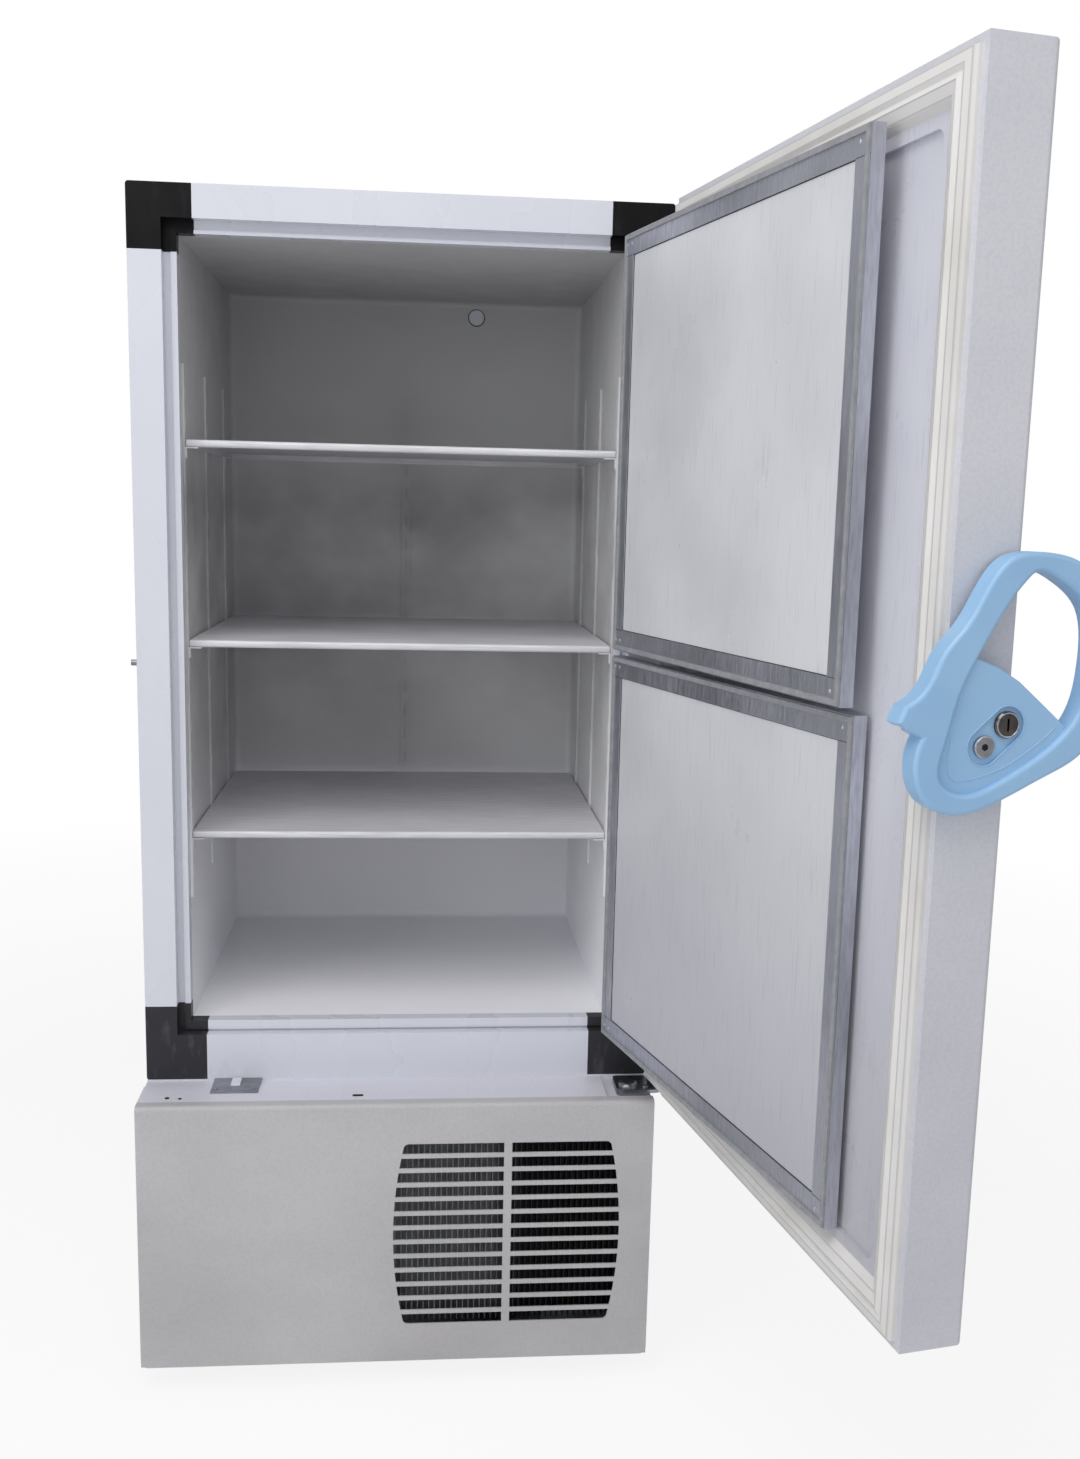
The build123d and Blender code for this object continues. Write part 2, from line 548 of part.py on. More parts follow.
def power_inlet():
    """The appliance inlet in the rear sheet, a housing with a shaped cavity and three blades."""
    half_w, half_h = INLET_WIDTH / 2, INLET_HEIGHT / 2
    rim = from_front(rectangle(INLET_X - half_w - 4, INLET_X + half_w + 4, INLET_Z - half_h - 4,
                               INLET_Z + half_h + 4, 4), CABINET_DEPTH, CABINET_DEPTH + 3)
    shell = from_front(rectangle(INLET_X - half_w, INLET_X + half_w, INLET_Z - half_h, INLET_Z + half_h),
                       CABINET_DEPTH - 24, CABINET_DEPTH)
    cavity = outline((INLET_X - half_w + 6, INLET_Z - half_h + 5), (INLET_X + half_w - 6, INLET_Z - half_h + 5),
                     (INLET_X + half_w - 6, INLET_Z + half_h - 10, 2), (INLET_X + half_w - 12, INLET_Z + half_h - 4),
                     (INLET_X - half_w + 12, INLET_Z + half_h - 4), (INLET_X - half_w + 6, INLET_Z + half_h - 10, 2))
    body = rim + shell - from_front(cavity, CABINET_DEPTH - 18, CABINET_DEPTH + 3)
    for shift in (-9, 0, 9):
        body += block((INLET_X + shift - 1, CABINET_DEPTH - 19, INLET_Z - 5),
                      (INLET_X + shift + 1, CABINET_DEPTH - 4, INLET_Z + 2))
    return body


# Refrigeration

def condenser():
    """The finned coil behind the grille: fin pack, two end plates and the return bends."""
    width = CONDENSER_RIGHT - CONDENSER_LEFT
    pack = block((CONDENSER_LEFT, CONDENSER_FRONT, CONDENSER_LOW), (CONDENSER_RIGHT, CONDENSER_BACK, CONDENSER_TOP))
    gaps = int(width // FIN_PITCH)
    first = CONDENSER_LEFT + (width - gaps * FIN_PITCH + FIN_THICKNESS) / 2
    comb = [
        rectangle(first + i * FIN_PITCH, first + (i + 1) * FIN_PITCH - FIN_THICKNESS,
                  CONDENSER_FRONT, CONDENSER_FRONT + FIN_DEPTH)
        for i in range(gaps)
    ]
    for gap in comb:
        pack -= from_above(gap, CONDENSER_LOW, CONDENSER_TOP)
    tube_y = (CONDENSER_FRONT + FIN_DEPTH + CONDENSER_BACK) / 2
    for side in (-1, 1):
        edge = CONDENSER_LEFT if side < 0 else CONDENSER_RIGHT
        outside = edge + side * SHEET
        plate = block((min(edge, outside), CONDENSER_FRONT, PAN_TOP),
                      (max(edge, outside), CONDENSER_BACK, CONDENSER_TOP))
        pack += plate
        for i in range(TUBE_BENDS):
            z = CONDENSER_TOP - TUBE_PITCH * (2 * i + (1 if side < 0 else 2))
            ring = Rot(90, 0, 0) * Torus(TUBE_PITCH / 4, TUBE_RADIUS)
            keep = block((min(0, side * TUBE_PITCH), -TUBE_PITCH, -TUBE_PITCH),
                         (max(0, side * TUBE_PITCH), TUBE_PITCH, TUBE_PITCH))
            pack += Pos(outside, tube_y, z) * (ring & keep)
    return pack


def fan_shroud():
    """The sheet that guides the air from the fin pack into the fan's ring."""
    face = rectangle(CONDENSER_LEFT, CONDENSER_RIGHT, CONDENSER_LOW, CONDENSER_TOP)
    lip = rectangle(CONDENSER_LEFT + SHEET, CONDENSER_RIGHT - SHEET, CONDENSER_LOW + SHEET, CONDENSER_TOP - SHEET)
    bore = disc(GRILLE_X, FAN_Z, FAN_RADIUS + FAN_GAP)
    ring = disc(GRILLE_X, FAN_Z, FAN_RADIUS + FAN_GAP + SHEET) - bore
    shroud = from_front(face - bore, SHROUD_BACK - SHEET, SHROUD_BACK)
    shroud += from_front(face - lip, CONDENSER_BACK, SHROUD_BACK - SHEET)
    return shroud + from_front(ring, SHROUD_BACK, SHROUD_BACK + FAN_RING)


def fan_blades():
    """The fan: a domed hub with pitched blades whose tips are rounded."""
    middle = (SHROUD_BACK + MOTOR_FRONT) / 2
    tilt = BLADE_CHORD * sin(radians(BLADE_PITCH))
    blade = outline((HUB_RADIUS - 6, -BLADE_CHORD / 4), (FAN_RADIUS - 8, -BLADE_CHORD / 2, 20),
                    (FAN_RADIUS - 4, BLADE_CHORD / 2, 12), (HUB_RADIUS - 6, BLADE_CHORD / 4))
    plate = Rot(BLADE_PITCH, 0, 0) * from_front(blade, -BLADE_SHEET / 2, BLADE_SHEET / 2)
    hub = from_front(disc(0, 0, HUB_RADIUS), -tilt / 2, tilt / 2)
    hub = fillet(hub.edges().group_by(Axis.Y)[0], BLADE_SHEET * 3)
    fan = hub
    for i in range(BLADES):
        fan += Rot(0, 360 / BLADES * i, 0) * plate
    fan -= from_front(disc(0, 0, SHAFT_RADIUS + FIT), -tilt / 4, tilt)
    return Pos(GRILLE_X, middle, FAN_Z) * fan


def fan_motor():
    """The fan's motor with its shaft, standing on a bent bracket."""
    middle = (SHROUD_BACK + MOTOR_FRONT) / 2
    can = from_front(disc(GRILLE_X, FAN_Z, MOTOR_RADIUS), MOTOR_FRONT, MOTOR_BACK)
    can = fillet(can.edges().group_by(Axis.Y)[-1], 8)
    shaft = from_front(disc(GRILLE_X, FAN_Z, SHAFT_RADIUS), middle, MOTOR_FRONT)
    y = (MOTOR_FRONT + MOTOR_BACK) / 2
    half = MOTOR_RADIUS * 0.7
    post = block((GRILLE_X - half, y - PAN_SHEET, PAN_TOP), (GRILLE_X + half, y, FAN_Z))
    foot = block((GRILLE_X - half, y - MOTOR_RADIUS / 2, PAN_TOP),
                 (GRILLE_X + half, y + MOTOR_RADIUS / 2, PAN_TOP + PAN_SHEET))
    return can + shaft + post + foot


def compressor(side):
    """A welded compressor: two drawn half shells, a foot plate and the stub of its pipe."""
    low = PAN_TOP + MOUNT_HEIGHT + CAN_FOOT
    top = low + CAN_HEIGHT
    seam = low + CAN_HEIGHT * 0.55
    half_shell = outline((0, low), (CAN_RADIUS - CAN_DOME / 2, low, CAN_DOME / 4), (CAN_RADIUS, low + CAN_DOME / 2),
                         (CAN_RADIUS, seam), (CAN_RADIUS + 5, seam), (CAN_RADIUS + 5, seam + 7),
                         (CAN_RADIUS, seam + 7), (CAN_RADIUS, top - CAN_DOME, CAN_DOME * 0.7), (CAN_RADIUS * 0.45, top),
                         (0, top))
    can = revolve(Plane.XZ * half_shell, Axis.Z)
    reach = MOUNT_SPREAD + MOUNT_RADIUS
    plate = from_above(rectangle(-reach, reach, -reach, reach, MOUNT_RADIUS), low - CAN_FOOT, low)
    stub = Pos(0, CAN_RADIUS, seam - 30) * Rot(-90, 0, 0) * Cylinder(TUBE_RADIUS + 1, 40)
    return Pos(side * COMPRESSOR_X, COMPRESSOR_Y, 0) * (can + plate + stub)


def compressor_mounts():
    """Rubber mounts under the four corners of both foot plates."""
    mounts = []
    for side in (-1, 1):
        for dx in (-MOUNT_SPREAD, MOUNT_SPREAD):
            for dy in (-MOUNT_SPREAD, MOUNT_SPREAD):
                at = disc(side * COMPRESSOR_X + dx, COMPRESSOR_Y + dy, MOUNT_RADIUS)
                mounts.append(from_above(at, PAN_TOP, PAN_TOP + MOUNT_HEIGHT))
    return mounts


# Casters and feet

def wheel(x, y):
    """A caster wheel with a crowned tread, a hub and a bore for its axle."""
    half, hub = WHEEL_WIDTH / 2, AXLE_RADIUS * 2.2
    bore = AXLE_RADIUS + FIT
    section = outline((bore, -half), (hub, -half), (hub, -half * 0.6), (WHEEL_RADIUS * 0.72, -half * 0.6),
                      (WHEEL_RADIUS * 0.72, -half), (WHEEL_RADIUS - 4, -half), (WHEEL_RADIUS, -half * 0.5),
                      (WHEEL_RADIUS, half * 0.5), (WHEEL_RADIUS - 4, half), (WHEEL_RADIUS * 0.72, half),
                      (WHEEL_RADIUS * 0.72, half * 0.6), (hub, half * 0.6), (hub, half), (bore, half))
    return Pos(x, y, FLOOR + WHEEL_RADIUS) * Rot(0, 90, 0) * revolve(Plane.XZ * section, Axis.Z)


def fork(x, y, crown_top):
    """Two cheeks, the crown over the wheel and the axle, for a wheel that trails behind x, y."""
    cheek_in = WHEEL_WIDTH / 2 + FORK_GAP
    cheek_out = cheek_in + FORK_SHEET
    axle_z = FLOOR + WHEEL_RADIUS
    crown_low = FLOOR + 2 * WHEEL_RADIUS + 4
    cheek = make_hull([
        *(Pos(CASTER_TRAIL, axle_z) * Circle(AXLE_RADIUS + 5)).edges(),
        *rectangle(-COLLAR_RADIUS, COLLAR_RADIUS, crown_low, crown_low + FORK_SHEET).edges(),
    ])
    frame = from_side(cheek, cheek_in, cheek_out) + from_side(cheek, -cheek_out, -cheek_in)
    frame += block((-cheek_out, -COLLAR_RADIUS, crown_low), (cheek_out, COLLAR_RADIUS, crown_low + FORK_SHEET))
    frame += from_side(disc(CASTER_TRAIL, axle_z, AXLE_RADIUS), -cheek_out, cheek_out)
    frame += from_above(disc(0, 0, COLLAR_RADIUS), crown_low + FORK_SHEET, crown_top)
    return Pos(x, y, 0) * frame


def caster_fork(side):
    """A front fork that swivels on its stem."""
    plate_low = FLOOR + WELL_TOP - CASTER_PLATE
    swivel = fork(0, 0, plate_low - RUNNING_GAP)
    swivel += from_above(disc(0, 0, STEM_RADIUS), plate_low - RUNNING_GAP, FLOOR + WELL_TOP - RUNNING_GAP)
    return Pos(side * CASTER_X, CASTER_FRONT, 0) * swivel


def caster_mounts():
    """The plates in the caster wells; the rear pair carries rigid forks."""
    plate_low, plate_top = FLOOR + WELL_TOP - CASTER_PLATE, FLOOR + WELL_TOP
    half = CASTER_PLATE_HALF
    plate = from_above(rectangle(-half, half, -half, half, 6), plate_low, plate_top)
    front = plate - from_above(disc(0, 0, STEM_RADIUS + FIT), plate_low, plate_top)
    rear = plate + fork(0, 0, plate_low)
    places = [Pos(side * CASTER_X, CASTER_FRONT, 0) * front for side in (-1, 1)]
    return [*places, *[Pos(side * CASTER_X, CASTER_BACK, 0) * rear for side in (-1, 1)]]


def levelling_foot(side):
    """A threaded stud with a round pad that stands on the floor."""
    pad = outline((0, FLOOR), (FOOT_RADIUS, FLOOR), (FOOT_RADIUS, FLOOR + FOOT_HEIGHT / 2),
                  (STUD_RADIUS + 3, FLOOR + FOOT_HEIGHT), (STUD_RADIUS + 3, FLOOR + 2 * FOOT_HEIGHT),
                  (STUD_RADIUS, FLOOR + 2 * FOOT_HEIGHT), (STUD_RADIUS, PAN_TOP + NUT_HEIGHT + STUD_ABOVE),
                  (0, PAN_TOP + NUT_HEIGHT + STUD_ABOVE))
    return Pos(side * FOOT_X, FOOT_Y, 0) * revolve(Plane.XZ * pad, Axis.Z)


# Hinges of the outer door

def hinge_bracket_upper():
    """The bracket on the cabinet's side with two arms and the pin between them."""
    low, top = UPPER_EAR_LOW - ARM_GAP - ARM_THICKNESS, UPPER_EAR_TOP + ARM_GAP + ARM_THICKNESS
    reach = KNUCKLE_RADIUS - 0.5
    arm = disc(HINGE_X, HINGE_Y, reach) + rectangle(HALF, HINGE_X + reach, HINGE_Y, 34)
    bracket = from_above(arm, low, low + ARM_THICKNESS) + from_above(arm, top - ARM_THICKNESS, top)
    bracket += from_above(disc(HINGE_X, HINGE_Y, PIN_RADIUS), low, top)
    plate = from_side(rectangle(TRIM, 62, low - 8, top + 8, 5), HALF, HALF + EAR_SHEET)
    return bracket + plate


def hinge_bracket_lower():
    """The bracket in the deck's pocket with a domed boss and the upright pin."""
    arm_low = ARM_GAP + 1 - ARM_THICKNESS
    arm_top = DOOR_BOTTOM - ARM_GAP
    foot = from_above(rectangle(ARM_LEFT, HALF - 2 * SHEET, ARM_FRONT, DOOR_BACK, 8),
                      POCKET_FLOOR + DECK_SHEET, arm_low)
    arm = outline((ARM_LEFT, ARM_FRONT, 14), (ARM_RIGHT, ARM_FRONT, 22), (ARM_RIGHT, HINGE_Y + 13, 12),
                  (ARM_LEFT, HINGE_Y + 13, 8))
    bracket = foot + from_above(arm, arm_low, arm_top)
    boss = from_above(disc(BOSS_X, BOSS_Y, BOSS_RADIUS), arm_top, BOSS_TOP)
    bracket += fillet(boss.edges().group_by(Axis.Z)[-1], 7)
    return bracket + from_above(disc(HINGE_X, HINGE_Y, PIN_RADIUS), arm_top, LOWER_EAR_TOP + 2)


def door_hinge_arms():
    """The two ears that the door turns on, each a leaf on the door's side with a bored knuckle."""
    leaf = rectangle(DOOR_HALF, DOOR_HALF + EAR_SHEET, EAR_FRONT, HINGE_Y + 7)
    web = rectangle(DOOR_HALF, HINGE_X, HINGE_Y - KNUCKLE_RADIUS, HINGE_Y + KNUCKLE_RADIUS)
    ear = leaf + web + disc(HINGE_X, HINGE_Y, KNUCKLE_RADIUS) - disc(HINGE_X, HINGE_Y, PIN_RADIUS + FIT)
    upper = from_above(ear, UPPER_EAR_LOW, UPPER_EAR_TOP)
    lower = from_above(ear, DOOR_BOTTOM, LOWER_EAR_TOP)
    return [upper, lower]


# Outer door

def hinge_notch(margin):
    """The room under the door that the lower bracket's boss moves through, grown by a margin."""
    sweep = ((HINGE_X - BOSS_X) ** 2 + (HINGE_Y - BOSS_Y) ** 2) ** 0.5 + BOSS_RADIUS + NOTCH_GAP
    return block(
        (HINGE_X - sweep - margin, BOSS_Y - BOSS_RADIUS - NOTCH_GAP - margin, DOOR_BOTTOM),
        (DOOR_HALF, DOOR_BACK, BOSS_TOP + NOTCH_GAP + margin),
    )


def door_skin():
    """The folded sheet of the outer door with its return flange, open towards the foam."""
    body = block((-DOOR_HALF, DOOR_FRONT, DOOR_BOTTOM), (DOOR_HALF, DOOR_BACK, DOOR_TOP))
    front = body.faces().sort_by(Axis.Y)[0]
    body = fillet(front.edges(), DOOR_RADIUS)
    room = block(
        (SHEET - DOOR_HALF, DOOR_FRONT + SHEET, DOOR_BOTTOM + SHEET),
        (DOOR_HALF - SHEET, DOOR_BACK - SHEET, DOOR_TOP - SHEET),
    )
    room = fillet(room.faces().sort_by(Axis.Y)[0].edges(), DOOR_RADIUS - SHEET)
    window = from_front(rectangle(PANEL_RIM - DOOR_HALF, DOOR_HALF - PANEL_RIM, DOOR_BOTTOM + PANEL_RIM,
                                  DOOR_TOP - PANEL_RIM), DOOR_BACK - SHEET, DOOR_BACK)
    return body - (room - hinge_notch(SHEET)) - window - hinge_notch(0)


def door_insulation():
    """The foam that fills the outer door."""
    foam = block(
        (SHEET - DOOR_HALF, DOOR_FRONT + SHEET, DOOR_BOTTOM + SHEET),
        (DOOR_HALF - SHEET, DOOR_BACK - PANEL_SHEET, DOOR_TOP - SHEET),
    )
    foam = fillet(foam.faces().sort_by(Axis.Y)[0].edges(), DOOR_RADIUS - SHEET)
    step = PANEL_STEP - PANEL_SHEET
    pan = block((step - DOOR_HALF, DOOR_BACK - PANEL_DEPTH - PANEL_SHEET, DOOR_BOTTOM + step),
                (DOOR_HALF - step, DOOR_BACK, DOOR_TOP - step))
    return foam - pan - hinge_notch(SHEET)


def door_inner_panel():
    """The moulded inner panel: a flat rim under the gasket and a shallow pan inside it."""
    rim = from_front(rectangle(PANEL_RIM - DOOR_HALF, DOOR_HALF - PANEL_RIM, DOOR_BOTTOM + PANEL_RIM,
                               DOOR_TOP - PANEL_RIM), DOOR_BACK - PANEL_SHEET, DOOR_BACK)
    step = PANEL_STEP - PANEL_SHEET
    pan = from_front(rectangle(step - DOOR_HALF, DOOR_HALF - step, DOOR_BOTTOM + step, DOOR_TOP - step,
                               PANEL_CORNER), DOOR_BACK - PANEL_DEPTH - PANEL_SHEET, DOOR_BACK)
    room = from_front(rectangle(PANEL_STEP - DOOR_HALF, DOOR_HALF - PANEL_STEP, DOOR_BOTTOM + PANEL_STEP,
                                DOOR_TOP - PANEL_STEP, PANEL_CORNER - PANEL_SHEET),
                      DOOR_BACK - PANEL_DEPTH, DOOR_BACK)
    return rim + pan - room


def door_gasket():
    """The wide ribbed seal, one section carried round the door with mitred corners."""
    edge = GASKET_SECTION[0][0]
    left, right = edge - DOOR_HALF, DOOR_HALF - edge
    low, top = DOOR_BOTTOM + edge, DOOR_TOP - edge
    path = Plane.XZ * Polyline((left, low), (right, low), (right, top), (left, top), close=True)
    section = outline(*[(inward - edge, y) for inward, y in GASKET_SECTION])
    start = Plane(origin=(left, 0, (low + top) / 2), x_dir=(1, 0, 0), z_dir=(0, 0, 1))
    return sweep(start * section, path=path, transition=Transition.RIGHT)


def control_panel():
    """The control panel at eye level on the door's front, a bezel round a flush screen."""
    half_w, half_h = SCREEN_WIDTH / 2, SCREEN_HEIGHT / 2
    bezel = from_front(rectangle(-half_w, half_w, SCREEN_Z - half_h, SCREEN_Z + half_h, SCREEN_BEZEL),
                       DOOR_FRONT - SCREEN_DEPTH, DOOR_FRONT)
    bezel = chamfer(bezel.edges().group_by(Axis.Y)[0], 1.5)
    screen = rectangle(SCREEN_BEZEL - half_w, half_w - SCREEN_BEZEL, SCREEN_Z - half_h + SCREEN_BEZEL,
                       SCREEN_Z + half_h - SCREEN_BEZEL, 3)
    return bezel - from_front(screen, DOOR_FRONT - SCREEN_DEPTH, DOOR_FRONT - SCREEN_DEPTH + 1)


# Handle and latch

def handle_outline():
    """The outer contour of the lever, a rounded sail with a beak that points into the cabinet."""
    back = Spline(*HANDLE_OUTER)
    beak = Polyline(HANDLE_OUTER[-1], BEAK_TIP, HANDLE_OUTER[0])
    return make_face([back, beak])


def handle_eye():
    """The inner contour of the lever's loop."""
    return make_face(Spline(*HANDLE_INNER, periodic=True))


def strike_track():
    """The groove in the beak that drops over the strike pin as the lever swings home."""
    width = STRIKE_RADIUS + STRIKE_SLACK
    end = STRIKE_ANGLE + LATCH_TURN + degrees(asin(STRIKE_SLACK / STRIKE_REACH))
    start = end - LATCH_TURN / 2
    middle = (start + end) / 2
    edge = [
        [(PIVOT_Y + r * cos(radians(a)), PIVOT_Z + r * sin(radians(a))) for a in (start, middle, end)]
        for r in (STRIKE_REACH - width, STRIKE_REACH + width)
    ]
    inner, outer = edge
    sector = make_face([
        ThreePointArc(*inner), Line(inner[-1], outer[-1]), ThreePointArc(*outer), Line(inner[0], outer[0]),
    ])
    top = (PIVOT_Y + STRIKE_REACH * cos(radians(end)), PIVOT_Z + STRIKE_REACH * sin(radians(end)))
    return sector + disc(*top, width)


def handle_lever():
    """The moulded lever: a rounded loop with a beak, a web across its lower half and a hub."""
    eye = handle_eye()
    loop = from_side(handle_outline() - eye, HANDLE_FRONT, HANDLE_BACK)
    loop = fillet(loop.edges().group_by(Axis.X)[0], HANDLE_ROUND)
    below = outline(*WEB_EDGE, (-205, 700), (-60, 640), (30, 660), (30, 820))
    web = from_side(eye & below, HANDLE_FRONT + WEB_FRONT, HANDLE_BACK - WEB_BACK)
    web = chamfer(web.edges().group_by(Axis.X)[0].filter_by(GeomType.LINE), WEB_CHAMFER)
    lever = loop + web
    lever += from_side(disc(PIVOT_Y, PIVOT_Z, PIVOT_RADIUS * 2), HANDLE_FRONT + WEB_FRONT + RECESS_DEPTH, HANDLE_BACK)
    slope = degrees(asin((LOCK_Z - PIVOT_Z) / ((LOCK_Y - PIVOT_Y) ** 2 + (LOCK_Z - PIVOT_Z) ** 2) ** 0.5))
    recess = SlotCenterToCenter(((LOCK_Y - PIVOT_Y) ** 2 + (LOCK_Z - PIVOT_Z) ** 2) ** 0.5, 2 * RECESS_RADIUS)
    recess = Pos((PIVOT_Y + LOCK_Y) / 2, (PIVOT_Z + LOCK_Z) / 2) * Rot(0, 0, -slope) * recess
    lever -= from_side(recess, HANDLE_FRONT, HANDLE_FRONT + WEB_FRONT + RECESS_DEPTH)
    lever -= from_side(disc(PIVOT_Y, PIVOT_Z, PIVOT_RADIUS + FIT), HANDLE_FRONT, HANDLE_BACK)
    lever -= from_side(disc(LOCK_Y, LOCK_Z, LOCK_RADIUS + FIT), HANDLE_FRONT, HANDLE_BACK)
    return lever - from_side(strike_track(), HANDLE_BACK - HANDLE_WIDTH / 2, HANDLE_BACK)


def lock_cylinder():
    """The key cylinder in the web, with its key slot and the cam behind it."""
    face = HANDLE_FRONT + WEB_FRONT + RECESS_DEPTH - LOCK_HEIGHT
    body = from_side(disc(LOCK_Y, LOCK_Z, LOCK_RADIUS), face, HANDLE_BACK - WEB_BACK)
    body = chamfer(body.edges().group_by(Axis.X)[0], 1.5)
    key = rectangle(LOCK_Y - 1.2, LOCK_Y + 1.2, LOCK_Z - 7, LOCK_Z + 7)
    cam = rectangle(LOCK_Y - 5, LOCK_Y + 5, LOCK_Z - 5, LOCK_Z + LOCK_RADIUS - 3, 2)
    body += from_side(cam, HANDLE_BACK - WEB_BACK, HANDLE_BACK - WEB_BACK + SHEET)
    return body - from_side(key, face, face + 8)


def handle_pivot_disc():
    """The pivot pin with the disc that keeps the lever on it."""
    floor = HANDLE_FRONT + WEB_FRONT + RECESS_DEPTH
    cap = from_side(disc(PIVOT_Y, PIVOT_Z, DISC_RADIUS), floor - DISC_HEIGHT, floor - RUNNING_GAP)
    cap = chamfer(cap.edges().group_by(Axis.X)[0], 1)
    return cap + from_side(disc(PIVOT_Y, PIVOT_Z, PIVOT_RADIUS), floor - RUNNING_GAP, -DOOR_HALF - HANDLE_GAP + 1)


def handle_base():
    """The boss on the door's free edge that carries the pivot pin."""
    boss = from_side(disc(PIVOT_Y, PIVOT_Z, HANDLE_BASE_RADIUS), HANDLE_BACK + 1, -DOOR_HALF)
    return boss


def latch_strike():
    """The plate on the cabinet's side with the pin that the beak drops over."""
    y = PIVOT_Y + STRIKE_REACH * cos(radians(STRIKE_ANGLE))
    z = PIVOT_Z + STRIKE_REACH * sin(radians(STRIKE_ANGLE))
    plate = from_side(rectangle(y - 28, y + 28, z - 24, z + 24, 6), -HALF - STRIKE_PLATE, -HALF)
    pin = from_side(disc(y, z, STRIKE_RADIUS), -HALF - STRIKE_LENGTH, -HALF - STRIKE_PLATE)
    return plate + pin


# Inner doors

def inner_hinge_heights(span):
    """The heights of a door's two hinge posts."""
    low, top = span
    return low + INNER_HINGE_INSET, top - INNER_HINGE_INSET


def inner_frame(span):
    """The angle frame of an inner door: edge walls, a wide face flange and the hinge knuckles."""
    low, top = span
    body = block((INNER_LEFT, INNER_FRONT, low), (INNER_RIGHT, INNER_BACK, top))
    room = block(
        (INNER_LEFT + INNER_SHEET, INNER_FRONT, low + INNER_SHEET),
        (INNER_RIGHT - INNER_SHEET, INNER_BACK - INNER_SHEET, top - INNER_SHEET),
    )
    window = block(
        (INNER_LEFT + INNER_FRAME_WIDTH, INNER_FRONT, low + INNER_FRAME_WIDTH),
        (INNER_RIGHT - INNER_FRAME_WIDTH, INNER_BACK, top - INNER_FRAME_WIDTH),
    )
    frame = body - room - window
    tab = rectangle(INNER_RIGHT - INNER_SHEET, INNER_HINGE_X, INNER_FRONT, INNER_FRONT + INNER_SHEET)
    tab += disc(INNER_HINGE_X, INNER_HINGE_Y, INNER_KNUCKLE)
    tab -= disc(INNER_HINGE_X, INNER_HINGE_Y, INNER_PIN_RADIUS + FIT)
    gap = INNER_KNUCKLE_HEIGHT / 2 + RUNNING_GAP
    for z in inner_hinge_heights(span):
        frame += from_above(tab, z + gap, z + gap + INNER_KNUCKLE_HEIGHT)
        frame += from_above(tab, z - gap - INNER_KNUCKLE_HEIGHT, z - gap)
    return frame


def inner_panel(span):
    """The white panel held by the frame of an inner door."""
    low, top = span
    return block(
        (INNER_LEFT + INNER_SHEET, INNER_FRONT, low + INNER_SHEET),
        (INNER_RIGHT - INNER_SHEET, INNER_BACK - INNER_SHEET, top - INNER_SHEET),
    )


def inner_seal(span):
    """The soft strip round the face of an inner door."""
    low, top = (z + sign * SEAL_INSET for z, sign in zip(span, (1, -1)))
    left, right = INNER_LEFT + SEAL_INSET, INNER_RIGHT - SEAL_INSET
    ring = rectangle(left, right, low, top) - rectangle(
        left + SEAL_WIDTH, right - SEAL_WIDTH, low + SEAL_WIDTH, top - SEAL_WIDTH)
    return from_front(ring, INNER_BACK, INNER_BACK + SEAL_HEIGHT)


def inner_door_pins():
    """Posts that stand out of the frame's groove and hold the pins of both inner doors."""
    step = HALF - SIDE_FACE - SIDE_GROOVE
    post = rectangle(step, INNER_HINGE_X + INNER_KNUCKLE, INNER_HINGE_Y, GROOVE_DEPTH)
    post += disc(INNER_HINGE_X, INNER_HINGE_Y, INNER_KNUCKLE)
    pin = disc(INNER_HINGE_X, INNER_HINGE_Y, INNER_PIN_RADIUS)
    half = INNER_KNUCKLE_HEIGHT / 2
    reach = half + RUNNING_GAP + INNER_KNUCKLE_HEIGHT
    return [
        from_above(post, z - half, z + half) + from_above(pin, z - reach, z + reach)
        for span in (UPPER_INNER, LOWER_INNER)
        for z in inner_hinge_heights(span)
    ]


def upper_open(shape):
    """A piece of the upper inner door, swung open."""
    return turned(shape, INNER_HINGE_X, INNER_HINGE_Y, UPPER_INNER_OPEN)


def lower_open(shape):
    """A piece of the lower inner door, swung open."""
    return turned(shape, INNER_HINGE_X, INNER_HINGE_Y, LOWER_INNER_OPEN)


# Door switch

def door_switch_plate():
    """The plate on the deck round the door switch."""
    plate = from_above(rectangle(SWITCH_LEFT, SWITCH_RIGHT, SWITCH_FRONT, STEP_Y, 3), 0, SWITCH_PLATE)
    plate += block((SWITCH_LEFT, STEP_Y - 3, -DECK_STEP), (SWITCH_RIGHT, 0, SWITCH_PLATE))
    plate -= block((SWITCH_LEFT, STEP_Y - 3, -DECK_STEP), (SWITCH_RIGHT, STEP_Y, 0))
    hole = rectangle(PLUNGER_LEFT - RUNNING_GAP, PLUNGER_RIGHT + RUNNING_GAP,
                     PLUNGER_FRONT - RUNNING_GAP, PLUNGER_BACK + RUNNING_GAP)
    return plate - from_above(hole, -DECK_STEP, SWITCH_PLATE)


def door_switch_plunger():
    """The white plunger of the door switch, low enough to pass under the door."""
    plunger = block((PLUNGER_LEFT, PLUNGER_FRONT, PLUNGER_TOP - PLUNGER_DEPTH),
                    (PLUNGER_RIGHT, PLUNGER_BACK, PLUNGER_TOP))
    return fillet(plunger.edges().group_by(Axis.Z)[-1], 1)


os.makedirs("parts", exist_ok=True)

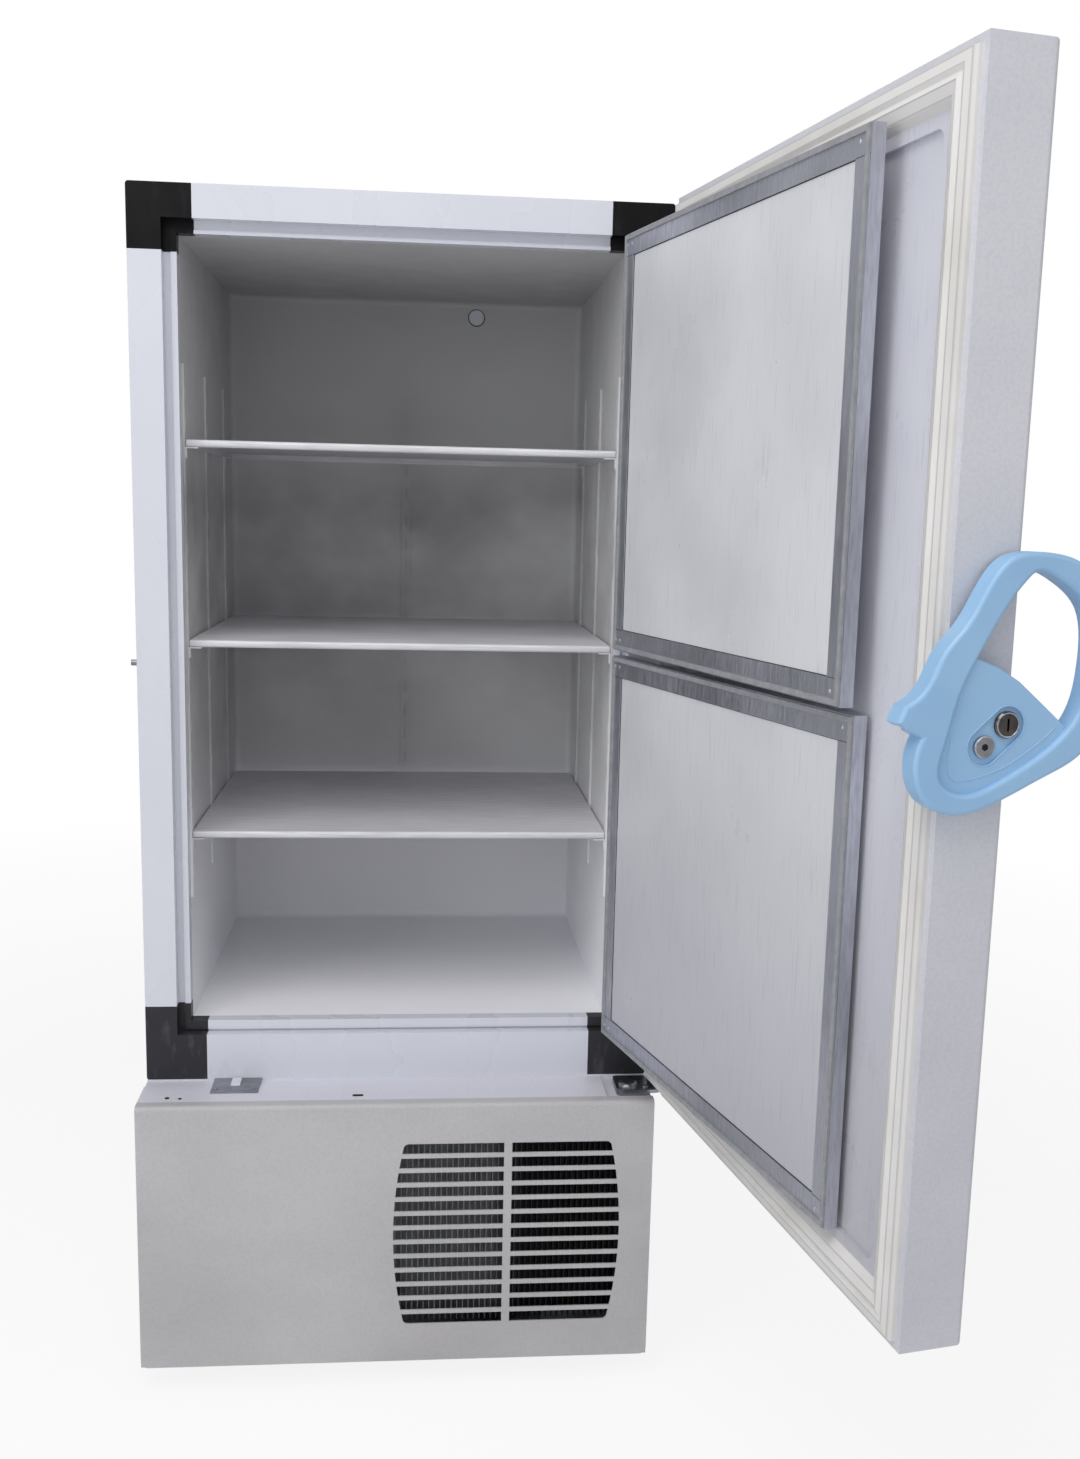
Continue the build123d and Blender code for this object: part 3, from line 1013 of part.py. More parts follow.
save("outer_cabinet", outer_cabinet())
save("back_panel", back_panel())
save("cabinet_insulation", cabinet_insulation())
save("inner_liner", inner_liner())
save("frame_strip_top", frame_strip_top())
save("frame_strip_right", frame_strip_right())
save("frame_strip_left", mirrored(frame_strip_right()))
save("frame_strip_bottom", frame_strip_bottom())
save("frame_corners_top", top_corner(), mirrored(top_corner()))
save("frame_corners_bottom", low_corner(), mirrored(low_corner()))
save("shelf_pilasters", *shelf_pilasters())
save("shelf_clips", *shelf_clips())
save("shelf_top", shelf(SHELF_TOPS[0]))
save("shelf_middle", shelf(SHELF_TOPS[1]))
save("shelf_bottom", shelf(SHELF_TOPS[2]))
save("port_plugs", *port_plugs())
save("base_chassis", base_chassis())
save("deck_panel", deck_panel())
save("base_front_panel", base_front_panel())
save("base_side_panels", *base_side_panels())
save("base_rear_grille", base_rear_grille())
save("power_inlet", power_inlet())
save("condenser", condenser())
save("fan_shroud", fan_shroud())
save("fan_motor", fan_motor())
save("fan_blades", fan_blades())
save("compressor_first", compressor(-1))
save("compressor_second", compressor(1))
save("compressor_mounts", *compressor_mounts())
save("caster_mounts", *caster_mounts())
save("caster_fork_left", caster_fork(-1))
save("caster_fork_right", caster_fork(1))
save("front_wheel_left", wheel(-CASTER_X, CASTER_FRONT + CASTER_TRAIL))
save("front_wheel_right", wheel(CASTER_X, CASTER_FRONT + CASTER_TRAIL))
save("rear_wheel_left", wheel(-CASTER_X, CASTER_BACK + CASTER_TRAIL))
save("rear_wheel_right", wheel(CASTER_X, CASTER_BACK + CASTER_TRAIL))
save("levelling_foot_left", levelling_foot(-1))
save("levelling_foot_right", levelling_foot(1))
save("hinge_bracket_upper", hinge_bracket_upper())
save("hinge_bracket_lower", hinge_bracket_lower())
save("door_hinge_arms", *[door_open(ear) for ear in door_hinge_arms()])
save("door_skin", door_open(door_skin()))
save("door_insulation", door_open(door_insulation()))
save("door_inner_panel", door_open(door_inner_panel()))
save("door_gasket", door_open(door_gasket()))
save("control_panel", door_open(control_panel()))
save("handle_base", door_open(handle_base()))
save("handle_pivot_disc", door_open(handle_pivot_disc()))
save("handle_lever", door_open(handle_lever()))
save("lock_cylinder", door_open(lock_cylinder()))
save("latch_strike", latch_strike())
save("upper_inner_frame", upper_open(inner_frame(UPPER_INNER)))
save("upper_inner_panel", upper_open(inner_panel(UPPER_INNER)))
save("upper_inner_seal", upper_open(inner_seal(UPPER_INNER)))
save("lower_inner_frame", lower_open(inner_frame(LOWER_INNER)))
save("lower_inner_panel", lower_open(inner_panel(LOWER_INNER)))
save("lower_inner_seal", lower_open(inner_seal(LOWER_INNER)))
save("inner_door_pins", *inner_door_pins())
save("door_switch_plate", door_switch_plate())
save("door_switch_plunger", door_switch_plunger())
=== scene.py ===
# %% [markdown]
# An upright ultra low temperature freezer, standing open. The construction comes from the packed
# model: every sheet, hinge and wheel is already at its real size, in metres, with the floor at
# zero. This file dresses that model. It gives each surface its finish, adds the small pieces that
# a drawing leaves out, and sets up a camera and soft light.

# %% Load the model and keep its size
import math
import bpy
import numpy as np
from mathutils import Matrix, Vector


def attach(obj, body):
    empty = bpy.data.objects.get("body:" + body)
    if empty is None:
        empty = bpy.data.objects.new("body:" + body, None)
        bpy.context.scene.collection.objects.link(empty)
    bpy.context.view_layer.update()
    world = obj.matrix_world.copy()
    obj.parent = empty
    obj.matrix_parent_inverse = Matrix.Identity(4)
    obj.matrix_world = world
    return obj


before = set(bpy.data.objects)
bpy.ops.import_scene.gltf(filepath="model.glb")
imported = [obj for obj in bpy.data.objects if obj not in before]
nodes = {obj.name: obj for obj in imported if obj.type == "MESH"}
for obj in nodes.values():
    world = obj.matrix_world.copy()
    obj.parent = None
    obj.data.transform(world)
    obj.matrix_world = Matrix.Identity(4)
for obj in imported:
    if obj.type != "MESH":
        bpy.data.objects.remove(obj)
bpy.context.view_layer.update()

# %% [markdown]
# The model was drawn about the cabinet's front frame, and so are the places in this file: x to the
# right of the middle, y back from the frame's face, z up from the deck, all in millimetres. One
# function moves such a point onto the floor's origin. A second one swings a point of a closed door
# to where the open door holds it, because a door is easier to think of when it is shut.

# %% Places
FRAME_BACK, DECK_UP = -320.0, 512.0
DOOR_HINGE, DOOR_OPEN = (441.0, -27.0), 101.2
INNER_HINGE, UPPER_OPEN, LOWER_OPEN = (370.0, -6.0), 103.6, 105.2


def on_floor(points):
    """Add the shift from the frame's face and the deck to the floor's origin, then divide by 1000."""
    return (np.asarray(points, float) + (0.0, FRAME_BACK, DECK_UP)) / 1000.0


def swung(points, hinge, degrees):
    """Turn about the upright line through the hinge: x and y relative to it times a 2 by 2 rotation."""
    turn = math.radians(degrees)
    spin = np.array([[math.cos(turn), -math.sin(turn)], [math.sin(turn), math.cos(turn)]])
    out = np.array(points, float)
    out[..., :2] = (out[..., :2] - hinge) @ spin.T + hinge
    return out


def on_door(points):
    """A place on the closed outer door, carried to the open door and onto the floor's origin."""
    return on_floor(swung(points, DOOR_HINGE, DOOR_OPEN))


print("free edge of the door", on_door([(-431, -14, 700)]))

# %% [markdown]
# The camera stands where the photograph was taken: about two and a half metres in front of the
# frame, at chest height, looking down a little and to the right. Its three directions are worked
# out as a turn about the upright, then a tilt, then a small roll, because that is how somebody
# holds a camera. The focal length is the photograph's, as a share of the picture's height.

# %% Camera
PICTURE = (1080, 1459)
FOCAL_PIXELS = 1443.29
CENTRE_PIXELS = (547.85, 759.37)
CAMERA_PLACE = (23.6, -2403.3, 973.7)
CAMERA_YAW, CAMERA_PITCH, CAMERA_ROLL = -5.310, -9.635, -1.335
SENSOR_HEIGHT = 36.0

yaw, pitch, roll = (math.radians(a) for a in (CAMERA_YAW, CAMERA_PITCH, CAMERA_ROLL))
level = np.array([[math.cos(yaw), math.sin(yaw), 0], [-math.sin(yaw), math.cos(yaw), 0], [0, 0, 1]])
tilt = np.array([[1, 0, 0], [0, math.cos(pitch), math.sin(pitch)], [0, -math.sin(pitch), math.cos(pitch)]])
side, ahead, above = tilt @ level
right = math.cos(roll) * side - math.sin(roll) * above
up = math.sin(roll) * side + math.cos(roll) * above

camera_data = bpy.data.cameras.new("camera")
camera_data.sensor_fit = "VERTICAL"
camera_data.sensor_height = SENSOR_HEIGHT
camera_data.lens = SENSOR_HEIGHT * FOCAL_PIXELS / PICTURE[1]
camera_data.shift_x = (PICTURE[0] / 2 - CENTRE_PIXELS[0]) / PICTURE[1]
camera_data.shift_y = (CENTRE_PIXELS[1] - PICTURE[1] / 2) / PICTURE[1]
camera = bpy.data.objects.new("camera", camera_data)
placed = Matrix.Identity(4)
for column, direction in enumerate((right, up, -ahead)):
    placed.col[column][:3] = direction
placed.translation = on_floor(CAMERA_PLACE)
camera.matrix_world = placed
bpy.context.scene.collection.objects.link(camera)
bpy.context.scene.camera = camera
bpy.context.scene.view_settings.view_transform = "Standard"
print("camera at", [round(c, 3) for c in camera.location], "lens", round(camera_data.lens, 2))

# %% [markdown]
# A pale floor and a white surround. Only rays that come straight from the camera, or through
# glass, see the surround as plain white, so the white costs the object no extra light. The floor
# is a matt surface that keeps the object's shadow. Away from the object it fades to the same
# white, so that no horizon shows.

# %% Floor and surround
WHITE_FOR_CAMERA = 1.0
AMBIENT_COLOR, AMBIENT_STRENGTH = (0.95, 0.96, 1.0, 1.0), 0.38


def seen_directly(tree):
    """One where the ray comes from the camera or through glass: the larger of the two flags."""
    path = tree.nodes.new("ShaderNodeLightPath")
    larger = tree.nodes.new("ShaderNodeMath")
    larger.operation = "MAXIMUM"
    tree.links.new(path.outputs["Is Camera Ray"], larger.inputs[0])
    tree.links.new(path.outputs["Is Transmission Ray"], larger.inputs[1])
    return larger.outputs[0]


world = bpy.data.worlds.new("surround")
bpy.context.scene.world = world
world.use_nodes = True
tree = world.node_tree
tree.nodes.clear()
soft = tree.nodes.new("ShaderNodeBackground")
soft.inputs["Color"].default_value = AMBIENT_COLOR
soft.inputs["Strength"].default_value = AMBIENT_STRENGTH
white = tree.nodes.new("ShaderNodeBackground")
white.inputs["Color"].default_value = (1, 1, 1, 1)
white.inputs["Strength"].default_value = WHITE_FOR_CAMERA
choose = tree.nodes.new("ShaderNodeMixShader")
out = tree.nodes.new("ShaderNodeOutputWorld")
tree.links.new(seen_directly(tree), choose.inputs["Fac"])
tree.links.new(soft.outputs[0], choose.inputs[1])
tree.links.new(white.outputs[0], choose.inputs[2])
tree.links.new(choose.outputs[0], out.inputs["Surface"])

FLOOR_HALF = 14.0
FLOOR_GLOW = 0.86
FADE_REACH = (1.4, 4.5)
FLOOR_COLOR, FLOOR_ROUGHNESS = (0.92, 0.92, 0.92, 1), 0.9
floor_corners = [(x * FLOOR_HALF, y * FLOOR_HALF, 0) for x, y in ((-1, -1), (1, -1), (1, 1), (-1, 1))]
floor_mesh = bpy.data.meshes.new("floor")
floor_mesh.from_pydata(floor_corners, [], [(0, 1, 2, 3)])
floor = bpy.data.objects.new("floor", floor_mesh)
bpy.context.scene.collection.objects.link(floor)
paper = bpy.data.materials.new("pale_floor")
paper.use_nodes = True
tree = paper.node_tree
shade = tree.nodes["Principled BSDF"]
shade.inputs["Base Color"].default_value = FLOOR_COLOR
shade.inputs["Roughness"].default_value = FLOOR_ROUGHNESS
glow = tree.nodes.new("ShaderNodeEmission")
glow.inputs["Strength"].default_value = WHITE_FOR_CAMERA
blend = tree.nodes.new("ShaderNodeMixShader")
share = tree.nodes.new("ShaderNodeMath")
share.operation = "MULTIPLY"
place = tree.nodes.new("ShaderNodeTexCoord")
away = tree.nodes.new("ShaderNodeVectorMath")
away.operation = "LENGTH"
tree.links.new(place.outputs["Object"], away.inputs[0])
fade = tree.nodes.new("ShaderNodeMapRange")
for socket, number in zip(fade.inputs[1:5], (*FADE_REACH, FLOOR_GLOW, 1.0)):
    socket.default_value = number
tree.links.new(away.outputs["Value"], fade.inputs["Value"])
tree.links.new(seen_directly(tree), share.inputs[0])
tree.links.new(fade.outputs[0], share.inputs[1])
tree.links.new(share.outputs[0], blend.inputs["Fac"])
tree.links.new(shade.outputs[0], blend.inputs[1])
tree.links.new(glow.outputs[0], blend.inputs[2])
tree.links.new(blend.outputs[0], tree.nodes["Material Output"].inputs["Surface"])
floor_mesh.materials.append(paper)
print("floor", floor_mesh.materials[0].name)

# %% [markdown]
# The room has wide ceiling lights, so the light is soft and comes mostly from above and in front.
# Four large area lamps stand for it: one over the front, one from the left, which lights the
# insides of the open doors, one from the right for the outside of the outer door, and a weak one
# low in front, which reaches the bottom of the chamber.

# %% Light
def area_light(name, place, aim, size, power, color):
    """A square area lamp that looks from its place to its aim."""
    data = bpy.data.lights.new(name, "AREA")
    data.shape = "SQUARE"
    data.size = size
    data.energy = power
    data.color = color
    lamp = bpy.data.objects.new(name, data)
    lamp.location = place
    lamp.rotation_euler = (Vector(aim) - Vector(place)).to_track_quat("-Z", "Y").to_euler()
    bpy.context.scene.collection.objects.link(lamp)
    return lamp


area_light("ceiling_front", (-0.6, -2.2, 3.9), (0.1, -0.2, 1.0), 2.6, 58.0, (1.0, 0.99, 0.97))
area_light("fill_left", (-3.2, -3.2, 1.9), (0.2, -0.3, 1.1), 2.4, 38.0, (0.96, 0.98, 1.0))
area_light("fill_right", (3.4, -3.4, 2.6), (0.2, -0.5, 1.0), 2.0, 16.0, (1.0, 0.98, 0.96))
area_light("fill_low", (-0.25, -3.0, 1.15), (0.0, 0.2, 0.72), 1.4, 3.5, (0.98, 0.98, 1.0))

# %% [markdown]
# Every finish is a small network of nodes on one Principled shader. A few helpers keep the cells
# short: they open a material, read a place or a noise from Object coordinates, turn a value into a
# range of values or colours, do one step of arithmetic, and add a bump. Object coordinates are
# metres here, so a scale of 400 is a grain of about two millimetres.

# %% Helpers for finishes
SRGB_KNEE, SRGB_TOE, SRGB_OFFSET, SRGB_GAMMA = 0.04045, 12.92, 0.055, 2.4


def linear(color):
    """A screen colour from 0 to 255 as linear light: ((c + 0.055) / 1.055) to the power 2.4."""
    share = np.asarray(color, float) / 255.0
    curve = ((share + SRGB_OFFSET) / (1 + SRGB_OFFSET)) ** SRGB_GAMMA
    out = np.where(share <= SRGB_KNEE, share / SRGB_TOE, curve)
    return (*out, 1.0)


def finish_named(name, color, roughness, metallic=0.0):
    """A material with one Principled shader set to plain values, and its node tree."""
    material = bpy.data.materials.new(name)
    material.use_nodes = True
    shader = material.node_tree.nodes["Principled BSDF"]
    shader.inputs["Base Color"].default_value = linear(color)
    shader.inputs["Roughness"].default_value = roughness
    shader.inputs["Metallic"].default_value = metallic
    return material, material.node_tree, shader


def along(tree, axis):
    """The Object coordinate along one axis, in metres."""
    place = tree.nodes.new("ShaderNodeTexCoord")
    split = tree.nodes.new("ShaderNodeSeparateXYZ")
    tree.links.new(place.outputs["Object"], split.inputs[0])
    return split.outputs[axis]


def noise(tree, scale, detail=3.0, stretch=(1.0, 1.0, 1.0), shift=(0.0, 0.0, 0.0)):
    """Noise on Object coordinates, stretched and shifted by a Mapping node."""
    place = tree.nodes.new("ShaderNodeTexCoord")
    mapping = tree.nodes.new("ShaderNodeMapping")
    mapping.inputs["Scale"].default_value = stretch
    mapping.inputs["Location"].default_value = shift
    grain = tree.nodes.new("ShaderNodeTexNoise")
    grain.inputs["Scale"].default_value = scale
    grain.inputs["Detail"].default_value = detail
    tree.links.new(place.outputs["Object"], mapping.inputs["Vector"])
    tree.links.new(mapping.outputs[0], grain.inputs["Vector"])
    return grain.outputs["Fac"]


def ranged(tree, value, low, high, start=0.3, end=0.7):
    """The value's span from start to end carried to low to high, held at both ends."""
    spread = tree.nodes.new("ShaderNodeMapRange")
    for socket, number in zip(spread.inputs[1:5], (start, end, low, high)):
        socket.default_value = number
    tree.links.new(value, spread.inputs["Value"])
    return spread.outputs[0]


def tinted(tree, value, first, second, start=0.3, end=0.7):
    """A blend of two screen colours by a value."""
    ramp = tree.nodes.new("ShaderNodeValToRGB")
    ramp.color_ramp.elements[0].position = start
    ramp.color_ramp.elements[1].position = end
    ramp.color_ramp.elements[0].color = linear(first)
    ramp.color_ramp.elements[1].color = linear(second)
    tree.links.new(value, ramp.inputs["Fac"])
    return ramp.outputs["Color"]


def mixed(tree, share, first, second, mode="MIX"):
    """Two colours blended by a share, each a socket or a linear colour."""
    mix = tree.nodes.new("ShaderNodeMix")
    mix.data_type = "RGBA"
    mix.blend_type = mode
    for socket, value in ((mix.inputs["Factor"], share), (mix.inputs[6], first), (mix.inputs[7], second)):
        if isinstance(value, bpy.types.NodeSocket):
            tree.links.new(value, socket)
        else:
            socket.default_value = value
    return mix.outputs[2]


def math_node(tree, operation, first, second=0.0):
    """One arithmetic step on two values, each a socket or a number."""
    step = tree.nodes.new("ShaderNodeMath")
    step.operation = operation
    for socket, value in zip(step.inputs, (first, second)):
        if isinstance(value, bpy.types.NodeSocket):
            tree.links.new(value, socket)
        else:
            socket.default_value = value
    return step.outputs[0]


def bumped(tree, shader, height, strength, distance):
    """A bump of that height, in metres at full strength, on the shader's normal."""
    bump = tree.nodes.new("ShaderNodeBump")
    bump.inputs["Strength"].default_value = strength
    bump.inputs["Distance"].default_value = distance
    tree.links.new(height, bump.inputs["Height"])
    tree.links.new(bump.outputs[0], shader.inputs["Normal"])


print("helpers ready")

# %% [markdown]
# The cabinet's sheets are steel with a smooth white gloss paint, a little blue. Up close such paint
# has orange peel, a very shallow waviness, and a thin film of dust and fingermarks that dulls it
# in soft patches.

# %% White gloss paint
CABINET_WHITE, CABINET_DUST = (218, 220, 229), (213, 215, 224)


def gloss_paint(name, clean, dusty, roughness):
    """Gloss enamel: two close whites blended by a wide noise, roughness by another, orange peel as bump."""
    material, tree, shader = finish_named(name, clean, roughness)
    film = noise(tree, 2.6, 2.0)
    tree.links.new(tinted(tree, film, clean, dusty, 0.35, 0.75), shader.inputs["Base Color"])
    smears = noise(tree, 9.0, 5.0, stretch=(1.0, 1.0, 0.5))
    tree.links.new(ranged(tree, smears, roughness * 0.8, roughness * 1.45), shader.inputs["Roughness"])
    bumped(tree, shader, noise(tree, 420.0, 2.0), 0.10, 0.0004)
    shader.inputs["Coat Weight"].default_value = 0.25
    shader.inputs["Coat Roughness"].default_value = 0.12
    return material


cabinet_paint = gloss_paint("cabinet_white_paint", CABINET_WHITE, CABINET_DUST, 0.26)
print(cabinet_paint.name)

# %% [markdown]
# The base and the outer door have a duller powder coat. It has a fine grain all over and broad,
# faint clouds where hands and cloths have polished or soiled it.

# %% Powder coat
BASE_GREY, BASE_SHADE = (196, 194, 196), (178, 176, 178)
DECK_GREY, DECK_SHADE = (222, 222, 231), (210, 210, 220)
DOOR_GREY, DOOR_SHADE = (214, 215, 221), (202, 203, 210)


def powder_coat(name, light, shade, roughness=0.42):
    """Powder coat: clouds of two greys at arm's length scale, then specks and a fine grain as bump."""
    material, tree, shader = finish_named(name, light, roughness)
    clouds = tinted(tree, noise(tree, 1.9, 4.0, stretch=(1.0, 1.0, 1.6)), light, shade, 0.38, 0.68)
    specks = tinted(tree, noise(tree, 240.0, 2.0), (255, 255, 255), (249, 249, 250), 0.45, 0.62)
    tree.links.new(mixed(tree, 1.0, clouds, specks, "MULTIPLY"), shader.inputs["Base Color"])
    tree.links.new(ranged(tree, noise(tree, 6.0, 4.0), roughness * 0.85, roughness * 1.25),
                   shader.inputs["Roughness"])
    bumped(tree, shader, noise(tree, 900.0, 3.0), 0.25, 0.0003)
    return material


base_paint = powder_coat("base_powder_coat", BASE_GREY, BASE_SHADE)
deck_paint = powder_coat("deck_powder_coat", DECK_GREY, DECK_SHADE)
door_paint = powder_coat("door_powder_coat", DOOR_GREY, DOOR_SHADE, 0.38)
print(base_paint.name, door_paint.name)

# %% [markdown]
# The chamber is painted sheet. Its tone follows the height: lighter at the floor, which is painted
# light, and greyer under the ceiling, which is painted shade. At the shelves' heights it has grey,
# smoky patches, a slow noise times a hump over the height.

# %% Chamber paint
CHAMBER_WHITE, CHAMBER_SMOKE = (220, 220, 220), (150, 149, 149)
# Painted light at the floor and painted shade under the ceiling: the two ends of the height ramp.
CHAMBER_PAINTED_LIGHT, CHAMBER_PAINTED_SHADE = (248, 248, 252), (192, 192, 192)
CHAMBER_FLOOR, CHAMBER_TOP = 0.62, 1.92
TONE_STEADY = (0.32, 0.72)
SMOKE_LOW, SMOKE_FULL, SMOKE_LESS, SMOKE_HIGH = 0.90, 1.25, 1.50, 1.62
SMOKE_ABOVE = 0.15


def chamber_paint():
    """Enamel: a height ramp of painted light low and painted shade high, greyed by a slow noise times a hump.
    """
    material, tree, shader = finish_named("chamber_paint", CHAMBER_WHITE, 0.4)
    patches = ranged(tree, noise(tree, 2.2, 5.0, stretch=(1.0, 1.0, 1.3), shift=(0.4, 0.0, 0.2)),
                     0.0, 1.0, 0.36, 0.66)
    height = along(tree, "Z")
    rise = ranged(tree, height, 0.0, 1.0, SMOKE_LOW, SMOKE_FULL)
    fall = ranged(tree, height, 1.0, SMOKE_ABOVE, SMOKE_LESS, SMOKE_HIGH)
    smoke = math_node(tree, "MULTIPLY", math_node(tree, "MULTIPLY", rise, fall), patches)
    ramp = tree.nodes.new("ShaderNodeValToRGB")
    stops = ramp.color_ramp.elements
    stops[0].color, stops[1].color = linear(CHAMBER_PAINTED_LIGHT), linear(CHAMBER_PAINTED_SHADE)
    for steady in TONE_STEADY:
        stops.new(steady).color = linear(CHAMBER_WHITE)
    tree.links.new(ranged(tree, height, 0.0, 1.0, CHAMBER_FLOOR, CHAMBER_TOP), ramp.inputs["Fac"])
    greyed = mixed(tree, smoke, ramp.outputs["Color"], linear(CHAMBER_SMOKE))
    tree.links.new(greyed, shader.inputs["Base Color"])
    tree.links.new(ranged(tree, noise(tree, 14.0, 5.0), 0.30, 0.52), shader.inputs["Roughness"])
    bumped(tree, shader, noise(tree, 300.0, 2.0), 0.12, 0.0005)
    return material


liner_paint = chamber_paint()
print(liner_paint.name)

# %% [markdown]
# The corner pieces of the frame are dark moulded plastic, a little shiny and faintly scuffed. The
# upper ones are black; the lower ones are painted greyer, a painted reflection of the light they
# catch. The same finish, duller, is on the fan, the inlet and the deck's plugs.

# %% Black plastic
CORNER_BLACK, CORNER_SCUFF = (14, 14, 16), (30, 30, 33)
# The lower pieces' grey is a painted reflection: the same black plastic, lightened.
LOW_CORNER_REFLECTION, LOW_CORNER_REFLECTION_SCUFF = (52, 52, 56), (84, 84, 90)
MACHINE_BLACK, MACHINE_SCUFF = (30, 30, 32), (52, 52, 54)


def black_moulding(name, color, scuff, roughness):
    """Dark plastic: a base colour, pale scuffs where a fine noise peaks, and a moulded grain as bump."""
    material, tree, shader = finish_named(name, color, roughness)
    scuffs = noise(tree, 60.0, 6.0, stretch=(1.0, 1.0, 0.3))
    tree.links.new(tinted(tree, scuffs, color, scuff, 0.55, 0.8), shader.inputs["Base Color"])
    shader.inputs["Specular IOR Level"].default_value = 0.2
    tree.links.new(ranged(tree, noise(tree, 12.0, 4.0), roughness * 0.75, roughness * 1.3),
                   shader.inputs["Roughness"])
    bumped(tree, shader, noise(tree, 700.0, 2.0), 0.15, 0.0003)
    return material


corner_plastic = black_moulding("black_corner_plastic", CORNER_BLACK, CORNER_SCUFF, 0.34)
reflecting_corner_plastic = black_moulding("corner_plastic_painted_reflection", LOW_CORNER_REFLECTION, LOW_CORNER_REFLECTION_SCUFF, 0.36)
machine_plastic = black_moulding("black_machine_plastic", MACHINE_BLACK, MACHINE_SCUFF, 0.5)
print(corner_plastic.name, reflecting_corner_plastic.name)

# %% [markdown]
# White moulded sheet covers the inner doors and the inside of the outer door. It is smooth, slightly
# shiny, and has long faint scratches and a few grey marks from racks that were pushed against it.
# It is painted a little greyer towards the floor, a painted shade.

# %% White panels
PANEL_WHITE, PANEL_MARK = (222, 222, 226), (206, 207, 212)
PANEL_PAINTED_SHADE, PANEL_SHADE_SPAN = (190, 190, 197), (0.66, 1.25)
DOOR_PANEL_WHITE, DOOR_PANEL_MARK = (214, 215, 224), (203, 204, 214)


def white_panel(name, clean, marked, roughness=0.34):
    """White plastic: broad clouds, painted shade low down, scratches from a stretched noise, a soft waviness.
    """
    material, tree, shader = finish_named(name, clean, roughness)
    clouds = tinted(tree, noise(tree, 3.0, 3.0), clean, marked, 0.4, 0.7)
    scratches = tinted(tree, noise(tree, 60.0, 4.0, stretch=(6.0, 6.0, 0.25)),
                       (255, 255, 255), (238, 238, 240), 0.58, 0.7)
    # Painted shade: below 1.25 m the panel turns greyer, fully so at 0.66 m and lower.
    low = ranged(tree, along(tree, "Z"), 1.0, 0.0, *PANEL_SHADE_SPAN)
    shaded_low = mixed(tree, low, clouds, linear(PANEL_PAINTED_SHADE))
    tree.links.new(mixed(tree, 1.0, shaded_low, scratches, "MULTIPLY"), shader.inputs["Base Color"])
    tree.links.new(ranged(tree, noise(tree, 10.0, 4.0), roughness * 0.8, roughness * 1.4),
                   shader.inputs["Roughness"])
    bumped(tree, shader, noise(tree, 24.0, 2.0), 0.12, 0.0012)
    return material


panel_plastic = white_panel("white_panel_plastic", PANEL_WHITE, PANEL_MARK)
door_panel_plastic = white_panel("door_panel_plastic", DOOR_PANEL_WHITE, DOOR_PANEL_MARK, 0.3)
print(panel_plastic.name)

# %% [markdown]
# The gasket is soft white vinyl. It is matt and a little warm in colour, and four fine grooves run
# round it side by side, drawn as dark lines of painted shade. The lines are at set distances from
# the door's edge, so they keep their place at the corners. The inner doors' seals are a grey foam strip.

# %% Gasket vinyl
VINYL_WHITE, VINYL_WARM, VINYL_DULL = (226, 224, 222), (228, 226, 224), (214, 211, 206)
SEAL_GREY, SEAL_DARK, SEAL_LIGHT = (150, 151, 155), (142, 143, 147), (160, 161, 165)
RIB_LINES = (14.0, 26.0, 39.5, 52.0)
# Painted shade in the grooves: the tone that darkens the vinyl along each groove line.
RIB_LINE_HALF, RIB_SHADE_TONE = 1.44, 0.62
RIB_DEEPEST = 68.0
DOOR_HALF_WIDTH, DOOR_BOTTOM, DOOR_TOP = 0.431, 0.517, 1.981


def groove_shade_lines(tree):
    """Painted shade: dark lines where the distance in from the door's edge, in millimetres, meets a groove.

    Object coordinates are turned back by the door's opening angle about its hinge. The distance is
    then the least of: half the door's width less the size of x, z less the bottom, the top less z.
    """
    place = tree.nodes.new("ShaderNodeTexCoord")
    mapping = tree.nodes.new("ShaderNodeMapping")
    turn = math.radians(-DOOR_OPEN)
    pivot = on_floor([(*DOOR_HINGE, 0.0)])[0]
    back = Matrix.Rotation(turn, 3, "Z") @ Vector((-pivot[0], -pivot[1], 0.0))
    mapping.inputs["Rotation"].default_value = (0.0, 0.0, turn)
    mapping.inputs["Location"].default_value = (back[0] + DOOR_HINGE[0] / 1000.0, back[1], 0.0)
    tree.links.new(place.outputs["Object"], mapping.inputs["Vector"])
    split = tree.nodes.new("ShaderNodeSeparateXYZ")
    tree.links.new(mapping.outputs[0], split.inputs[0])
    from_side = math_node(tree, "SUBTRACT", DOOR_HALF_WIDTH, math_node(tree, "ABSOLUTE", split.outputs["X"]))
    from_bottom = math_node(tree, "SUBTRACT", split.outputs["Z"], DOOR_BOTTOM)
    from_top = math_node(tree, "SUBTRACT", DOOR_TOP, split.outputs["Z"])
    inward = math_node(tree, "MINIMUM", from_side, math_node(tree, "MINIMUM", from_bottom, from_top))
    share = math_node(tree, "MULTIPLY", inward, 1000.0 / RIB_DEEPEST)
    ramp = tree.nodes.new("ShaderNodeValToRGB")
    stops = ramp.color_ramp.elements
    stops[0].color = stops[1].color = (1, 1, 1, 1)
    for line in RIB_LINES:
        for offset, tone in ((-RIB_LINE_HALF, 1.0), (0.0, RIB_SHADE_TONE), (RIB_LINE_HALF, 1.0)):
            stop = stops.new((line + offset) / RIB_DEEPEST)
            stop.color = (tone, tone, tone, 1)
    tree.links.new(share, ramp.inputs["Fac"])
    return ramp.outputs["Color"]


